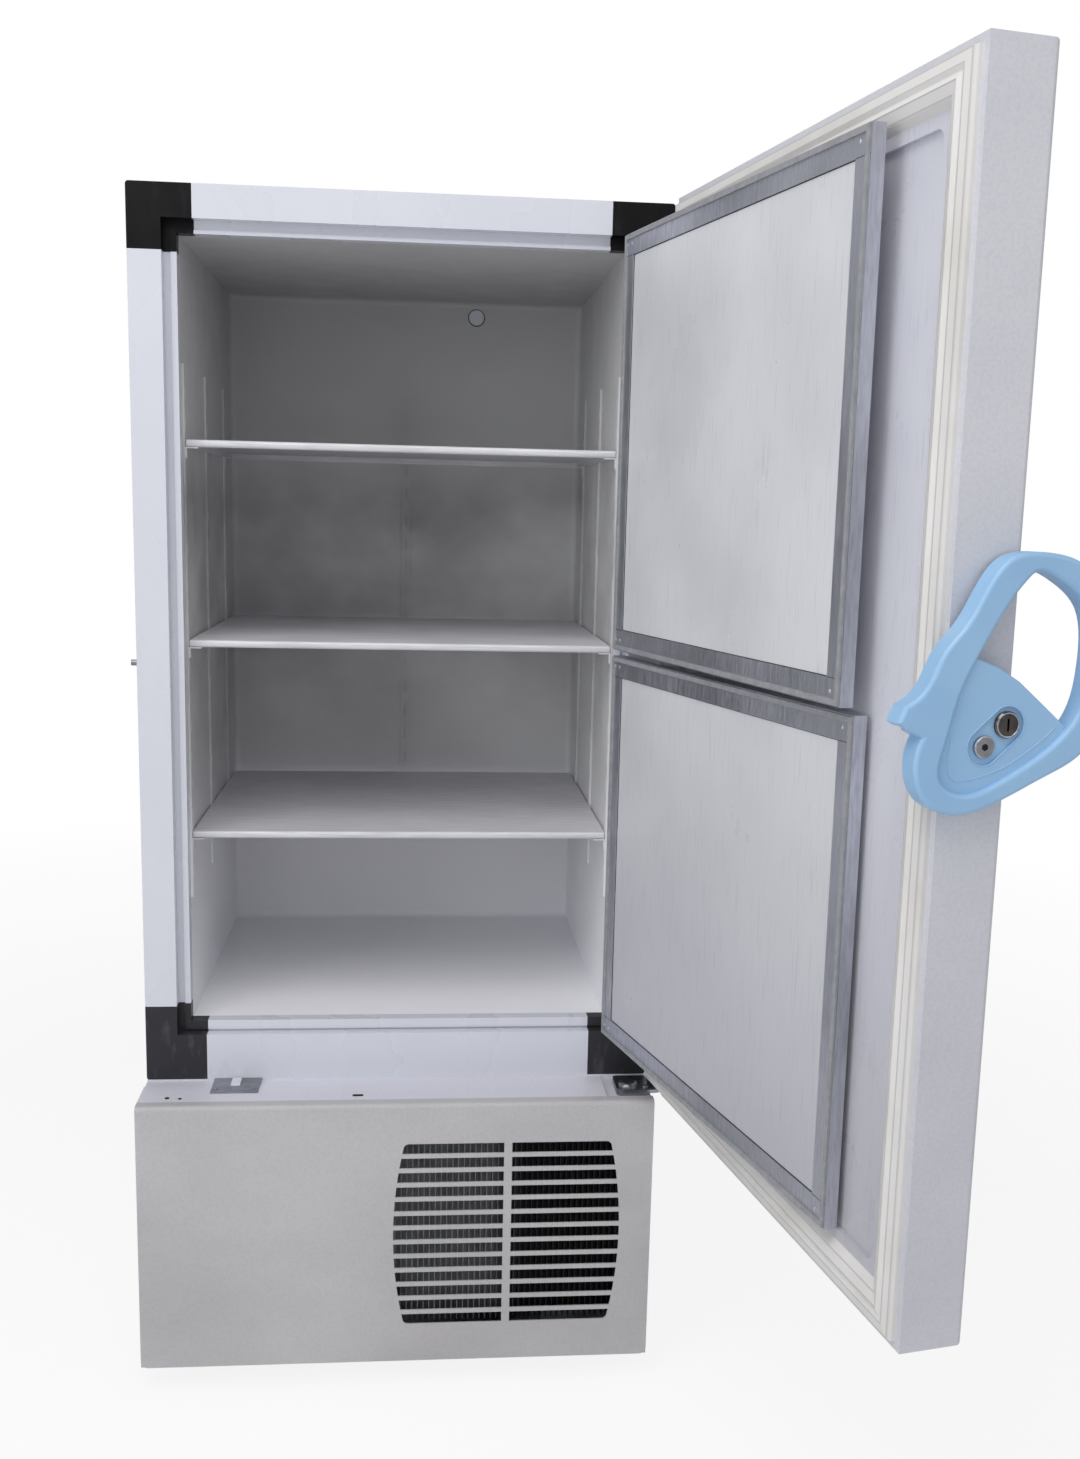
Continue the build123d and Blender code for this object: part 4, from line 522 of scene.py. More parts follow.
def gasket_vinyl():
    """Soft vinyl: warm white with a duller tone in slow patches, painted shade in the grooves, a fine drag
    grain.
    """
    material, tree, shader = finish_named("gasket_vinyl", VINYL_WHITE, 0.5)
    tone = tinted(tree, noise(tree, 7.0, 4.0), VINYL_WARM, VINYL_DULL, 0.4, 0.75)
    tree.links.new(mixed(tree, 1.0, tone, groove_shade_lines(tree), "MULTIPLY"), shader.inputs["Base Color"])
    tree.links.new(ranged(tree, noise(tree, 30.0, 3.0), 0.42, 0.6), shader.inputs["Roughness"])
    bumped(tree, shader, noise(tree, 160.0, 3.0), 0.12, 0.0006)
    shader.inputs["Subsurface Weight"].default_value = 0.05
    shader.inputs["Subsurface Radius"].default_value = (0.004, 0.003, 0.002)
    return material


def seal_foam():
    """Grey closed-cell strip: two greys by a fine noise, matt, with its cells as bump."""
    material, tree, shader = finish_named("grey_seal_strip", SEAL_GREY, 0.7)
    tree.links.new(tinted(tree, noise(tree, 80.0, 4.0), SEAL_DARK, SEAL_LIGHT), shader.inputs["Base Color"])
    bumped(tree, shader, noise(tree, 900.0, 2.0), 0.3, 0.0004)
    return material


gasket_skin = gasket_vinyl()
seal_strip = seal_foam()
print(gasket_skin.name, seal_strip.name)

# %% [markdown]
# The handle is moulded in a pale blue plastic with a satin skin. Such mouldings are very even, so
# the finish has only a faint mottling, a fine grain and a thin sheen where hands polish it.

# %% Blue handle plastic
HANDLE_BLUE, HANDLE_LIGHT = (148, 190, 228), (158, 198, 233)


def handle_plastic():
    """Satin plastic: two close blues by a slow noise, roughness by a hand's-width noise, fine grain."""
    material, tree, shader = finish_named("blue_handle_plastic", HANDLE_BLUE, 0.36)
    tree.links.new(tinted(tree, noise(tree, 11.0, 3.0), HANDLE_BLUE, HANDLE_LIGHT),
                   shader.inputs["Base Color"])
    tree.links.new(ranged(tree, noise(tree, 26.0, 4.0), 0.30, 0.46), shader.inputs["Roughness"])
    bumped(tree, shader, noise(tree, 1100.0, 2.0), 0.10, 0.0002)
    shader.inputs["Coat Weight"].default_value = 0.12
    shader.inputs["Coat Roughness"].default_value = 0.3
    return material


blue_plastic = handle_plastic()
print(blue_plastic.name)

# %% [markdown]
# Bare metals. The inner doors' angle frames are mill-finish aluminium with a grain and cloudy
# stains, the shelves are brushed steel under a thin white frost, which makes them hardly metallic,
# the pan and the back are galvanized sheet with its patchwork of crystals, and the lock is chrome,
# painted darker than the pivot disc's chrome as a painted dark reflection.

# %% Metals
ALUMINIUM_LIGHT, ALUMINIUM_DARK = (216, 218, 226), (184, 186, 193)
SHELF_LIGHT, SHELF_DARK = (232, 232, 235), (214, 214, 218)
BRACKET_LIGHT, BRACKET_DARK = (176, 178, 182), (140, 142, 146)
# Painted reflection: the lock's chrome is a much darker copy of the disc's chrome.
CHROME_REFLECTION_DARK, CHROME_REFLECTION_DEEP = (132, 128, 124), (96, 92, 88)
CHROME_LIGHT, CHROME_GREY = (206, 206, 208), (170, 170, 174)
ZINC, ZINC_DARK, ZINC_LIGHT = (186, 189, 192), (168, 171, 175), (200, 203, 206)
GRAIN_UP, GRAIN_SIDEWAYS, GRAIN_IN, NO_GRAIN = (6.0, 6.0, 0.8), (0.4, 8.0, 8.0), (1.0, 6.0, 1.0), (2.0,) * 3


def brushed_metal(name, light, dark, roughness, grain, clouds=4.0, metallic=1.0):
    """Brushed metal: lines from a noise stretched along the grain, over slow cloudy stains."""
    material, tree, shader = finish_named(name, light, roughness, metallic)
    lines = noise(tree, 40.0, 4.0, stretch=grain)
    stains = tinted(tree, noise(tree, clouds, 5.0), light, dark, 0.35, 0.7)
    streaks = tinted(tree, lines, (255, 255, 255), (238, 238, 240), 0.35, 0.65)
    tree.links.new(mixed(tree, 1.0, stains, streaks, "MULTIPLY"), shader.inputs["Base Color"])
    tree.links.new(ranged(tree, lines, roughness * 0.75, roughness * 1.35), shader.inputs["Roughness"])
    bumped(tree, shader, lines, 0.12, 0.0004)
    return material


# Painted shade: right of the grille's post the fins take a much darker copy of the same aluminium.
FINS_LIT, FINS_SHADED = (140, 142, 146), (38, 38, 40)
FINS_TURN, FINS_BLEND = 0.184, 0.03


def condenser_fins():
    """Thin aluminium fins, dulled by dust: paler left of the grille's post, painted shade right of it."""
    material, tree, shader = finish_named("condenser_fins", FINS_LIT, 0.5, metallic=0.6)
    side = ranged(tree, along(tree, "X"), 0.0, 1.0, FINS_TURN - FINS_BLEND, FINS_TURN + FINS_BLEND)
    fins = mixed(tree, side, linear(FINS_LIT), linear(FINS_SHADED))
    dust = tinted(tree, noise(tree, 40.0, 5.0), (255, 255, 255), (206, 203, 198), 0.4, 0.75)
    tree.links.new(mixed(tree, 1.0, fins, dust, "MULTIPLY"), shader.inputs["Base Color"])
    bumped(tree, shader, noise(tree, 260.0, 3.0), 0.15, 0.0004)
    return material


def galvanized_sheet():
    """Zinc-coated steel: a patchwork of crystals from Voronoi cells, each its own grey and gloss."""
    material, tree, shader = finish_named("galvanized_sheet", ZINC, 0.4, metallic=0.9)
    place = tree.nodes.new("ShaderNodeTexCoord")
    cells = tree.nodes.new("ShaderNodeTexVoronoi")
    cells.inputs["Scale"].default_value = 60.0
    tree.links.new(place.outputs["Object"], cells.inputs["Vector"])
    tone = tree.nodes.new("ShaderNodeSeparateColor")
    tree.links.new(cells.outputs["Color"], tone.inputs[0])
    tree.links.new(tinted(tree, tone.outputs[0], ZINC_DARK, ZINC_LIGHT, 0.0, 1.0),
                   shader.inputs["Base Color"])
    tree.links.new(ranged(tree, tone.outputs[1], 0.32, 0.52, 0.0, 1.0), shader.inputs["Roughness"])
    bumped(tree, shader, noise(tree, 200.0, 3.0), 0.1, 0.0004)
    return material


angle_aluminium = brushed_metal("angle_aluminium", ALUMINIUM_LIGHT, ALUMINIUM_DARK, 0.46, GRAIN_UP)
fin_aluminium = condenser_fins()
shelf_steel = brushed_metal("shelf_steel", SHELF_LIGHT, SHELF_DARK, 0.45, GRAIN_SIDEWAYS, metallic=0.12)
bracket_steel = brushed_metal("bracket_steel", BRACKET_LIGHT, BRACKET_DARK, 0.34, GRAIN_IN, clouds=12.0)
chrome_painted_dark_reflection = brushed_metal("chrome_painted_dark_reflection", CHROME_REFLECTION_DARK, CHROME_REFLECTION_DEEP, 0.16, NO_GRAIN, clouds=40.0)
disc_chrome = brushed_metal("disc_chrome", CHROME_LIGHT, CHROME_GREY, 0.2, NO_GRAIN, clouds=40.0)
zinc_sheet = galvanized_sheet()
print(angle_aluminium.name, shelf_steel.name, zinc_sheet.name)

# %% [markdown]
# Hidden or dark things: black stoving paint on the compressors and the motor, rubber on tyres and
# mounts, the cream foam of the insulation, and the dark glass of the control panel. Grey sealant
# is a rubber too, so it takes the same finish under its own name, and that finish also draws the
# painted shadow line round the inner doors' panels.

# %% Dark and hidden finishes
STOVING_BLACK, STOVING_DUST = (26, 26, 27), (96, 93, 88)
RUBBER_BLACK, RUBBER_DARK, RUBBER_DUST = (40, 40, 41), (34, 34, 35), (72, 71, 69)
FOAM_CREAM, FOAM_LIGHT, FOAM_DARK = (228, 214, 176), (232, 219, 184), (212, 194, 150)
GLASS_DARK, GLASS_DEEP, GLASS_WIPED = (22, 25, 30), (20, 23, 28), (30, 34, 40)


def stoving_paint():
    """Black stoving enamel with dust that settles on what faces up: the normal's height picks the tone."""
    material, tree, shader = finish_named("black_stoving_paint", STOVING_BLACK, 0.42)
    shape = tree.nodes.new("ShaderNodeNewGeometry")
    split = tree.nodes.new("ShaderNodeSeparateXYZ")
    tree.links.new(shape.outputs["Normal"], split.inputs[0])
    faces_up = ranged(tree, split.outputs["Z"], 0.0, 0.6, 0.3, 1.0)
    dust = math_node(tree, "MULTIPLY", faces_up, ranged(tree, noise(tree, 30.0, 5.0), 0.4, 1.0))
    dusted = mixed(tree, dust, linear(STOVING_BLACK), linear(STOVING_DUST))
    tree.links.new(dusted, shader.inputs["Base Color"])
    bumped(tree, shader, noise(tree, 500.0, 2.0), 0.15, 0.0004)
    return material


def rubber(name):
    """Dark rubber, greyed by dust in a fine noise, with a soft grain."""
    material, tree, shader = finish_named(name, RUBBER_BLACK, 0.75)
    tree.links.new(tinted(tree, noise(tree, 45.0, 5.0), RUBBER_DARK, RUBBER_DUST, 0.4, 0.85),
                   shader.inputs["Base Color"])
    bumped(tree, shader, noise(tree, 380.0, 3.0), 0.2, 0.0005)
    return material


def cast_foam():
    """Cream foam: pores from Voronoi cells as bump, and a tone that varies slowly."""
    material, tree, shader = finish_named("cream_foam", FOAM_CREAM, 0.9)
    tree.links.new(tinted(tree, noise(tree, 12.0, 4.0), FOAM_LIGHT, FOAM_DARK), shader.inputs["Base Color"])
    place = tree.nodes.new("ShaderNodeTexCoord")
    pores = tree.nodes.new("ShaderNodeTexVoronoi")
    pores.inputs["Scale"].default_value = 500.0
    tree.links.new(place.outputs["Object"], pores.inputs["Vector"])
    bumped(tree, shader, pores.outputs["Distance"], 0.4, 0.001)
    return material


def screen_glass():
    """Dark cover glass: nearly black, very smooth, with faint wiping marks in its roughness."""
    material, tree, shader = finish_named("screen_glass", GLASS_DARK, 0.08)
    tree.links.new(tinted(tree, noise(tree, 20.0, 3.0), GLASS_DEEP, GLASS_WIPED), shader.inputs["Base Color"])
    tree.links.new(ranged(tree, noise(tree, 40.0, 5.0, stretch=(1.0, 1.0, 3.0)), 0.05, 0.16),
                   shader.inputs["Roughness"])
    return material


black_paint = stoving_paint()
dark_rubber = rubber("dark_rubber")
joint_and_shadow_grey = rubber("joint_sealant")
foam = cast_foam()
dark_glass = screen_glass()
print(black_paint.name, dark_rubber.name, joint_and_shadow_grey.name, foam.name, dark_glass.name)

# %% [markdown]
# Each node of the model now takes its finish. The model's meshes stay as they are: only the
# material in the slot changes.

# %% Dress the model
WEARS = {
    cabinet_paint: ("outer_cabinet", "frame_strip_top", "frame_strip_left", "frame_strip_right",
                    "frame_strip_bottom", "port_plugs", "door_switch_plunger"),
    deck_paint: ("deck_panel",),
    base_paint: ("base_front_panel", "base_side_panels", "base_rear_grille"),
    door_paint: ("door_skin",),
    liner_paint: ("inner_liner", "shelf_pilasters"),
    corner_plastic: ("frame_corners_top",),
    reflecting_corner_plastic: ("frame_corners_bottom",),
    machine_plastic: ("power_inlet", "fan_blades"),
    panel_plastic: ("upper_inner_panel", "lower_inner_panel"),
    door_panel_plastic: ("door_inner_panel",),
    gasket_skin: ("door_gasket",),
    seal_strip: ("upper_inner_seal", "lower_inner_seal"),
    blue_plastic: ("handle_lever", "handle_base"),
    angle_aluminium: ("upper_inner_frame", "lower_inner_frame"),
    fin_aluminium: ("condenser",),
    shelf_steel: ("shelf_top", "shelf_middle", "shelf_bottom", "shelf_clips"),
    bracket_steel: ("hinge_bracket_upper", "hinge_bracket_lower", "latch_strike", "door_switch_plate",
                    "inner_door_pins", "door_hinge_arms", "levelling_foot_left", "levelling_foot_right"),
    chrome_painted_dark_reflection: ("lock_cylinder",),
    disc_chrome: ("handle_pivot_disc",),
    zinc_sheet: ("back_panel", "base_chassis", "fan_shroud", "caster_mounts", "caster_fork_left",
                 "caster_fork_right"),
    black_paint: ("fan_motor", "compressor_first", "compressor_second"),
    dark_rubber: ("compressor_mounts", "front_wheel_left", "front_wheel_right", "rear_wheel_left",
                  "rear_wheel_right"),
    foam: ("cabinet_insulation", "door_insulation"),
    dark_glass: ("control_panel",),
}
for material, names in WEARS.items():
    for name in names:
        for slot in nodes[name].material_slots:
            slot.material = material
dressed = {name for names in WEARS.values() for name in names}
print("dressed", len(dressed), "left", sorted(set(nodes) - dressed))

# %% [markdown]
# Small fasteners are what a drawing leaves out first. A rivet or screw head is a turned shape, so
# each one is a short profile carried round its own axis. All heads of one kind that move together
# are one object. The profiles give radius and height in millimetres, from the seat up.

# %% Turned heads
HEAD_STEPS = 24


def across(axis):
    """Two directions square to an axis and to each other, with first cross second along the axis."""
    axis = np.asarray(axis, float) / np.linalg.norm(axis)
    helper = np.array([0.0, 0.0, 1.0]) if abs(axis[2]) < 0.9 else np.array([1.0, 0.0, 0.0])
    first = np.cross(helper, axis)
    first /= np.linalg.norm(first)
    return axis, first, np.cross(axis, first)


def ring_faces(rings, steps, start):
    """Quads between neighbouring rings of one turned shape, closed round, and a cap on the last ring."""
    j = np.arange(steps)
    k = (j + 1) % steps
    quads = []
    for i in range(rings - 1):
        low, high = start + i * steps, start + (i + 1) * steps
        quads += np.stack([low + j, low + k, high + k, high + j], axis=1).tolist()
    return quads + [(start + (rings - 1) * steps + j).tolist()]


def made_piece(name, points, faces, body, material, carry):
    """A smooth mesh object from points in the drawing's millimetres, which rides the body it is on."""
    mesh = bpy.data.meshes.new(name)
    mesh.from_pydata(carry(points).tolist(), [], faces)
    mesh.materials.append(material)
    mesh.shade_smooth()
    piece = bpy.data.objects.new(name, mesh)
    bpy.context.scene.collection.objects.link(piece)
    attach(piece, body)
    return piece


def turned_heads(name, profile, places, axis, body, material, carry=on_floor, steps=HEAD_STEPS,
                 teeth=0, tooth=0.0):
    """Each point is the place, plus height times the axis, plus radius times (cos a, sin a) across it.

    A profile row is radius, height and a share of six-sidedness. At share 1 the radius becomes
    r cos 30 / cos(a - nearest middle of a flat), which draws a hexagon; at share 0 it stays a circle.
    Teeth make a knurl: the radius is then also multiplied by 1 + tooth cos(teeth a).
    """
    radius, height, flats = np.array([(*row, 0.0)[:3] for row in profile]).T
    angle = np.linspace(0.0, 2 * math.pi, steps, endpoint=False)
    off_flat = (angle + math.pi / 6) % (math.pi / 3) - math.pi / 6
    hexagon = math.cos(math.pi / 6) / np.cos(off_flat)
    knurl = 1 + tooth * np.cos(teeth * angle)
    reach = radius[:, None] * (1 + flats[:, None] * (hexagon[None, :] - 1)) * knurl
    axis, first, second = across(axis)
    ring = np.cos(angle)[:, None] * first + np.sin(angle)[:, None] * second
    shape = reach[:, :, None] * ring[None] + height[:, None, None] * axis
    points, faces = [], []
    for place in places:
        faces += ring_faces(len(radius), steps, len(points) * shape.shape[0] * steps)
        points.append((shape + np.asarray(place, float)).reshape(-1, 3))
    return made_piece(name, np.concatenate(points), faces, body, material, carry)


RIVET = ((3.1, 0.0), (3.1, 0.3), (2.7, 0.8), (1.9, 1.25), (0.9, 1.5))
PAN_SCREW = ((4.6, 0.0), (4.6, 0.9), (4.1, 1.7), (3.0, 2.2), (2.1, 2.3), (1.9, 2.2, 1.0), (1.8, 1.1, 1.0))
SMALL_SCREW = ((3.2, 0.0), (3.2, 0.6), (2.8, 1.2), (1.6, 1.4), (1.3, 1.3, 1.0), (1.2, 0.6, 1.0))
HEX_BOLT = ((6.5, 0.0, 1.0), (6.5, 3.4, 1.0), (5.9, 4.0, 0.3), (3.0, 4.1))
CASTER_BOLT = ((5.0, 0, 1.0), (5.0, 3.0, 1.0), (4.4, 3.5, 0.3), (2.0, 3.6))
REAR_STEPS = 18
print("profiles", len(RIVET), len(PAN_SCREW), len(HEX_BOLT))

# %% [markdown]
# The inner doors' angle frames are butted at the corners, each joint held by two rivets. The heads
# sit on the wide flange that faces the chamber when the door is shut.

# %% Rivets of the inner doors
INNER_LEFT, INNER_RIGHT, INNER_BACK, FLANGE = -376.0, 366.0, 14.0, 34.0
INNER_SPANS = {"upper_inner_door": (754.0, 1415.0, UPPER_OPEN),
               "lower_inner_door": (83.0, 744.0, LOWER_OPEN)}
RIVET_INSETS = (9.0, 26.0)


def on_inner_door(opening):
    """A carrier for one inner door: points swing by that opening, then go to the floor's origin."""
    return lambda points: on_floor(swung(points, INNER_HINGE, opening))


for body, (low, top, opening) in INNER_SPANS.items():
    rows = (low + FLANGE / 2, top - FLANGE / 2)
    columns = [x for inset in RIVET_INSETS for x in (INNER_LEFT + inset, INNER_RIGHT - inset)]
    spots = [(x, INNER_BACK, z) for z in rows for x in sorted(columns)]
    turned_heads(body + "_rivets", RIVET, spots, (0, 1, 0), body, angle_aluminium,
                 carry=on_inner_door(opening))
print("rivets on", list(INNER_SPANS))

# %% [markdown]
# Flat things with rounded corners, such as keys and plugs, are rounded rectangles that
# shrink a little as they rise. Thin cords, such as a bead of sealant, are a small circle carried
# along a smooth path.

# %% Plates and cords
CORNER_STEPS, CORD_SIDES = 6, 10


def rounded_outline(width, height, radius):
    """Corner by corner: the corner circle's centre plus radius times (cos a, sin a), a quarter turn each."""
    turns = np.arange(4)[:, None] * math.pi / 2 + np.linspace(0, math.pi / 2, CORNER_STEPS)
    sign_u = np.array([1, -1, -1, 1])[:, None]
    sign_v = np.array([1, 1, -1, -1])[:, None]
    u = sign_u * (width / 2 - radius) + radius * np.cos(turns)
    v = sign_v * (height / 2 - radius) + radius * np.sin(turns)
    return np.stack([u.ravel(), v.ravel()], axis=1)


def plates(name, spots, profile, axis, body, material, carry=on_floor):
    """Rings of a rounded rectangle: each profile row is an inset from its edge and a height above it.

    A spot is a centre, a width, a height and a corner radius, laid across the axis.
    """
    axis, first, second = across(axis)
    points, faces, count = [], [], 0
    steps = 4 * CORNER_STEPS
    for centre, width, height, radius in spots:
        faces += ring_faces(len(profile), steps, count)
        for inset, rise in profile:
            flat = rounded_outline(width - 2 * inset, height - 2 * inset, max(radius - inset, 0.05))
            points.append(np.asarray(centre, float) + flat @ np.array([first, second]) + rise * axis)
            count += steps
    return made_piece(name, np.concatenate(points), faces, body, material, carry)


def smooth_path(points, per_span=8, closed=False):
    """Catmull-Rom: on each span, a cubic through its two ends with slopes of half the neighbours' chord."""
    points = np.asarray(points, float)
    if closed:
        padded = np.concatenate([points[-1:], points, points[:2]])
    else:
        padded = np.concatenate([points[:1], points, points[-1:]])
    a, b, c, d = padded[:-3, None], padded[1:-2, None], padded[2:-1, None], padded[3:, None]
    t = np.linspace(0, 1, per_span, endpoint=False)[None, :, None]
    curve = b + (c - a) * t / 2 + (a - 2.5 * b + 2 * c - d / 2) * t**2 + (-a + 3 * b - 3 * c + d) / 2 * t**3
    curve = curve.reshape(-1, points.shape[1])
    return curve if closed else np.concatenate([curve, points[-1:]])


def cord(name, path, radius, normal, body, material, carry=on_floor, closed=False):
    """Each point is the path plus radius times (cos a across the path + sin a along the plane's normal)."""
    path = np.asarray(path, float)
    normal = np.asarray(normal, float)
    along = np.roll(path, -1, 0) - np.roll(path, 1, 0) if closed else np.gradient(path, axis=0)
    along /= np.linalg.norm(along, axis=1)[:, None]
    beside = np.cross(normal, along)
    angle = np.linspace(0, 2 * math.pi, CORD_SIDES, endpoint=False)
    round_it = np.cos(angle)[None, :, None] * beside[:, None] + np.sin(angle)[None, :, None] * normal
    points = (path[:, None] + radius * round_it).reshape(-1, 3)
    rings = len(path)
    j = np.arange(CORD_SIDES)
    k = (j + 1) % CORD_SIDES
    faces = []
    for i in range(rings if closed else rings - 1):
        here, there = i * CORD_SIDES, (i + 1) % rings * CORD_SIDES
        faces += np.stack([here + j, here + k, there + k, there + j], axis=1).tolist()
    if not closed:
        faces += [j[::-1].tolist(), ((rings - 1) * CORD_SIDES + j).tolist()]
    return made_piece(name, points, faces, body, material, carry)


print("plates and cords ready")

# %% [markdown]
# On the inner doors a dark grey bead runs round the white panel where it meets the angle frame, a
# painted shadow line in the gap between them, and a fine dark joint shows at each corner where an
# upright is butted against a rail.

# %% Beads and joints of the inner doors
# The bead is a dark cord laid along the gap between panel and frame: a painted shadow line.
PANEL_FACE, BEAD, BEAD_CORNER = 12.0, 0.8, 3.0
JOINT_LENGTH, JOINT_WIDTH, JOINT_CORNER = FLANGE - 2.0, 0.9, 0.3
JOINT_RISE = ((0, 0), (0, 0.1), (0.15, 0.15))
for body, (low, top, opening) in INNER_SPANS.items():
    swing = on_inner_door(opening)
    inside = (INNER_RIGHT - INNER_LEFT - 2 * FLANGE - BEAD, top - low - 2 * FLANGE - BEAD)
    flat = rounded_outline(*inside, BEAD_CORNER) + ((INNER_LEFT + INNER_RIGHT) / 2, (low + top) / 2)
    loop = np.insert(flat, 1, PANEL_FACE, axis=1)
    cord(body + "_sealant", loop, BEAD, (0, -1, 0), body, joint_and_shadow_grey, carry=swing, closed=True)
    joints = [((x, INNER_BACK, z), JOINT_LENGTH, JOINT_WIDTH, JOINT_CORNER)
              for x in (INNER_LEFT + FLANGE / 2, INNER_RIGHT - FLANGE / 2)
              for z in (low + FLANGE, top - FLANGE)]
    plates(body + "_joints", joints, JOINT_RISE, (0, 1, 0), body, joint_and_shadow_grey, carry=swing)
print("beads on", list(INNER_SPANS))

# %% [markdown]
# Small things on the front. Two round plugs and an oblong one close service holes in the deck, and
# a thin grey ring seals the port plug in the chamber's back wall. On the handle a raised rim runs
# round the lock's recess, a fine line follows the loop, the pivot disc has a knurled edge and a thin
# black hexagon of painted shade for its socket, and the lock has a bright ring.

# %% Front details
DECK_PLUGS = [((-384.5, -82.0, 0.0), 8.0, 8.0, 3.9), ((-363.0, -85.0, 0.0), 6.0, 6.0, 2.9),
              ((-69.0, -80.0, 0.0), 7.0, 18.0, 1.5)]
plates("deck_plugs", DECK_PLUGS, ((0, 0), (0, 0.5), (0.4, 0.8)), (0, 0, 1), "cabinet", machine_plastic)

PORT, PORT_WALL, PORT_RING = (141.0, 1367.0), 668.0, 16.2
CIRCLE_STEPS = 48


def circle(middle, radius):
    """Points of a flat circle: its middle plus radius times (cos a, sin a)."""
    angle = np.linspace(0, 2 * math.pi, CIRCLE_STEPS, endpoint=False)
    return np.stack([middle[0] + radius * np.cos(angle), middle[1] + radius * np.sin(angle)], axis=1)


cord("port_ring", np.insert(circle(PORT, PORT_RING), 1, PORT_WALL, axis=1), 1.1, (0, -1, 0), "cabinet",
     joint_and_shadow_grey, closed=True)
print("plugs", len(DECK_PLUGS), "and a ring round the port")

# %% [markdown]
# The handle is drawn on the door's side, so its flat shapes are pairs of y and z, and x is the
# height of the face that they lie on: the web, the recess's floor, or the pivot disc.

# %% Handle details
WEB_FACE, RECESS_FLOOR, DISC_FACE = -456.5, -453.5, -458.5
PIVOT, LOCK, RECESS_RADIUS, LOCK_RING = (-51.0, 735.0), (-78.0, 759.0), 21.0, 13.2
WEB_LINE = ((-9, 745), (-7, 712), (-22, 698), (-73, 710), (-119, 738), (-138, 755))
KNURL = ((11.9, 0.4), (12.25, 0.7), (12.25, 4.2), (11.6, 4.7))
SOCKET_SHADE = ((4.2, 0.0, 1.0), (4.2, 0.15, 1.0), (3.4, 0.2, 1.0))
SIDEWAYS = (-1, 0, 0)

reach = math.hypot(LOCK[0] - PIVOT[0], LOCK[1] - PIVOT[1])
slope = math.atan2(LOCK[1] - PIVOT[1], LOCK[0] - PIVOT[0])
flat = rounded_outline(reach + 2 * RECESS_RADIUS, 2 * RECESS_RADIUS, RECESS_RADIUS - 0.05)
spin = np.array([[math.cos(slope), math.sin(slope)], [-math.sin(slope), math.cos(slope)]])
flat = flat @ spin + ((PIVOT[0] + LOCK[0]) / 2, (PIVOT[1] + LOCK[1]) / 2)
rim = smooth_path(np.insert(flat, 0, WEB_FACE, axis=1), 3, closed=True)
cord("recess_rim", rim, 0.8, SIDEWAYS, "handle_lever", blue_plastic, carry=on_door, closed=True)
line = smooth_path([(WEB_FACE, y, z) for y, z in WEB_LINE], 10)
cord("web_line", line, 0.7, SIDEWAYS, "handle_lever", blue_plastic, carry=on_door)
turned_heads("disc_knurl", KNURL, [(RECESS_FLOOR, *PIVOT)], SIDEWAYS, "outer_door", disc_chrome,
             carry=on_door, steps=192, teeth=32, tooth=0.02)
# The socket is a thin black hexagon on the disc: painted shade where a real socket is a hollow.
turned_heads("disc_socket_painted_shade", SOCKET_SHADE, [(DISC_FACE, *PIVOT)], SIDEWAYS, "outer_door", machine_plastic,
             carry=on_door)
ring = np.insert(circle(LOCK, LOCK_RING), 0, DISC_FACE, axis=1)
cord("lock_ring", ring, 0.9, SIDEWAYS, "lock_cylinder", disc_chrome, carry=on_door, closed=True)
print("recess", round(reach, 1), "between centres, line of", len(line), "points")

# %% [markdown]
# The control panel on the door's front has a small display window, a status lamp and a row of soft
# keys, all sunk a little below its bezel.

# %% Control panel
PANEL_GLASS, DISPLAY_Z, KEYS_Z = -103.0, 1192.0, 1146.0
OUTWARDS = (0, -1, 0)
WINDOW_RISE = ((0, 0), (0, 0.3), (0.4, 0.5))
KEY_RISE = ((0, 0), (0, 0.4), (0.5, 0.8), (2.5, 0.85))
LAMP = ((3.2, 0.0), (3.2, 0.4), (2.4, 0.7), (1.0, 0.85))

plates("display_window", [((-22.0, PANEL_GLASS, DISPLAY_Z), 96.0, 46.0, 2.0)], WINDOW_RISE, OUTWARDS,
       "outer_door", panel_plastic, carry=on_door)
key_spots = [((x, PANEL_GLASS, KEYS_Z), 20.0, 12.0, 3.0) for x in (-64, -32, 0, 32, 64)]
plates("control_keys", key_spots, KEY_RISE, OUTWARDS, "outer_door", dark_rubber, carry=on_door)
turned_heads("status_lamp", LAMP, [(56.0, PANEL_GLASS, DISPLAY_Z)], OUTWARDS, "outer_door", disc_chrome,
             carry=on_door)
print("keys", len(key_spots))

# %% [markdown]
# Screws hold the strike plate, the switch plate and the upper hinge. On the rear sheet a row of
# them runs round the edge, because that panel comes off for service.

# %% Screws of the cabinet
STRIKE_Y, STRIKE_Z, STRIKE_FACE = 45.8, 714.4, -435.0
HINGE_FACE, HINGE_Y = 435.0, 46.0
BACK_FACE = 760.0

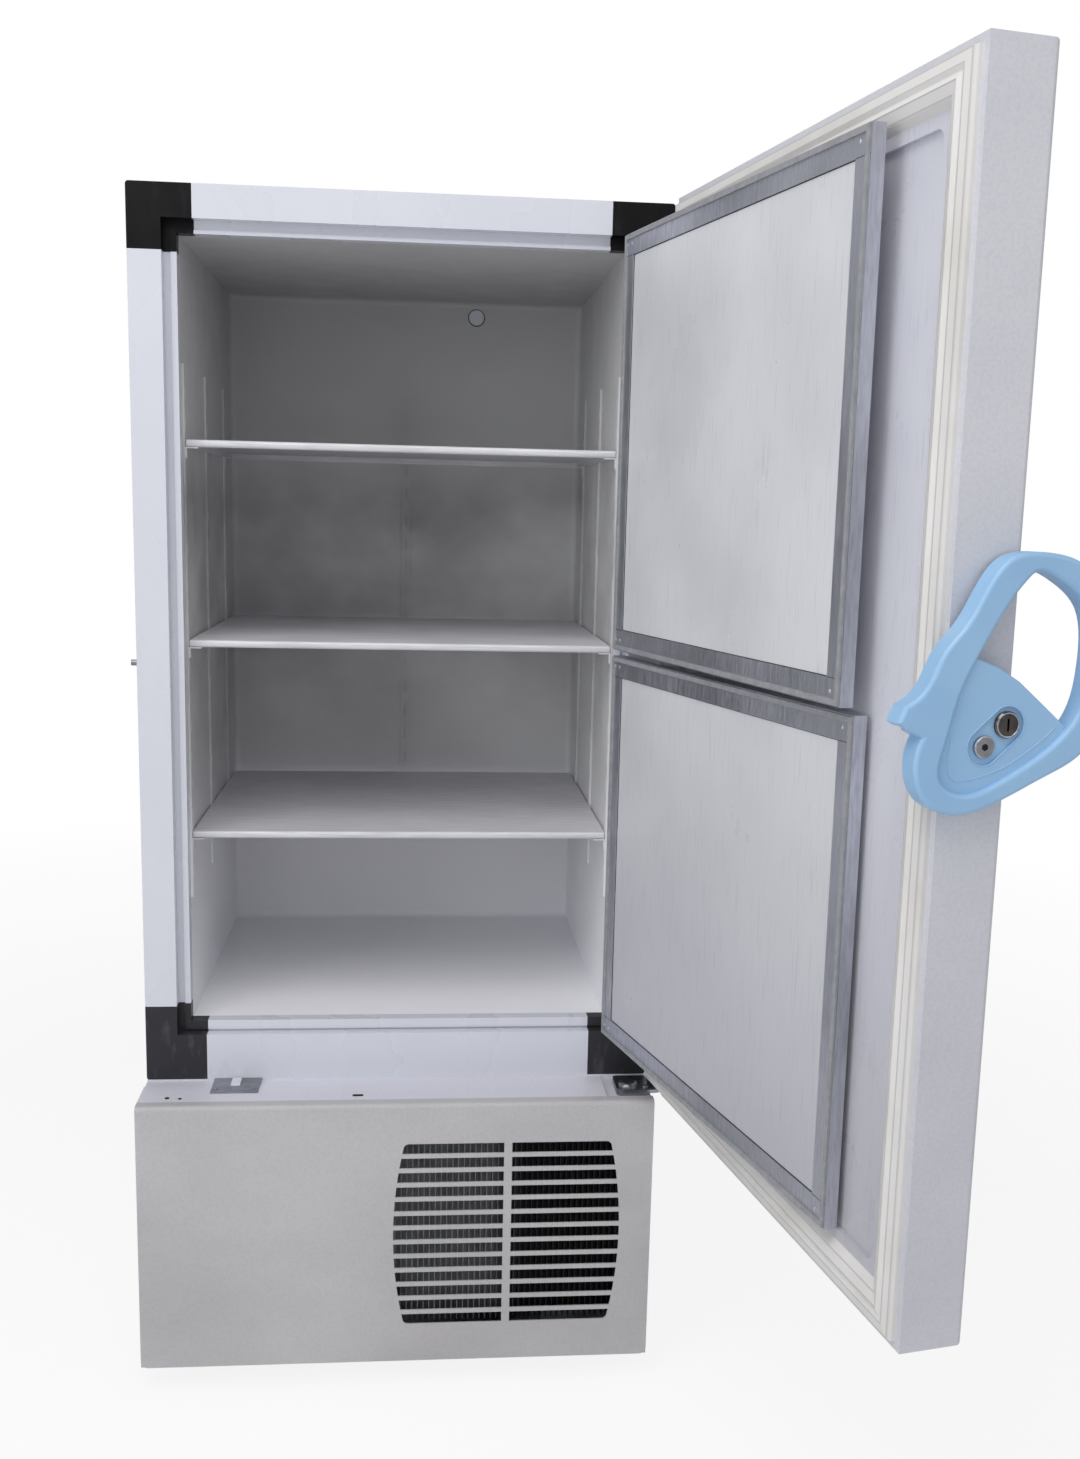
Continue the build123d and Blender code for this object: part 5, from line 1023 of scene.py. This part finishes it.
strike_spots = [(STRIKE_FACE, STRIKE_Y + dy, STRIKE_Z + dz) for dy in (-20, 20) for dz in (-16, 16)]
turned_heads("strike_screws", SMALL_SCREW, strike_spots, (-1, 0, 0), "cabinet", bracket_steel)
switch_spots = [(-309.0, -48.0, 1.5), (-245.0, -48.0, 1.5)]
turned_heads("switch_screws", SMALL_SCREW, switch_spots, (0, 0, 1), "cabinet", bracket_steel)
hinge_spots = [(HINGE_FACE, HINGE_Y, z) for z in (1356.0, 1380.0, 1404.0)]
turned_heads("upper_hinge_screws", PAN_SCREW, hinge_spots, (1, 0, 0), "cabinet", bracket_steel)
edge = [(x, z) for z in (22.0, 1447.0) for x in np.linspace(-400, 400, 7)]
edge += [(x, z) for x in (-414.0, 414.0) for z in np.linspace(160, 1310, 8)]
turned_heads("back_panel_screws", PAN_SCREW, [(x, BACK_FACE, z) for x, z in edge], (0, 1, 0), "cabinet",
             bracket_steel, steps=REAR_STEPS)
base_spots = [(x, BACK_FACE, z) for x in (-412.0, 0.0, 412.0) for z in (-40.0, -440.0)]
turned_heads("rear_grille_screws", PAN_SCREW, base_spots, (0, 1, 0), "cabinet", bracket_steel,
             steps=REAR_STEPS)
print("screws", len(edge) + len(base_spots) + len(strike_spots) + len(hinge_spots))

# %% [markdown]
# The lower hinge is bolted through the deck's pocket, and the caster plates are bolted up into
# their wells.

# %% Bolts
HINGE_BOLTS = [(382.0, -30.0, -3.0), (422.0, -68.0, 3.0)]
CASTER_SIDES, CASTER_ROWS, CASTER_UNDER = (-335.0, 335.0), (70.0, 650.0), -416.0
BOLT_OFFSETS = (-30.0, 30.0)

turned_heads("lower_hinge_bolts", HEX_BOLT, HINGE_BOLTS, (0, 0, 1), "cabinet", bracket_steel)
caster_spots = [(x + dx, y + dy, CASTER_UNDER) for x in CASTER_SIDES for y in CASTER_ROWS
                for dx in BOLT_OFFSETS for dy in BOLT_OFFSETS]
turned_heads("caster_bolts", CASTER_BOLT, caster_spots, (0, 0, -1), "cabinet", bracket_steel,
             steps=REAR_STEPS)
print("caster bolts", len(caster_spots))
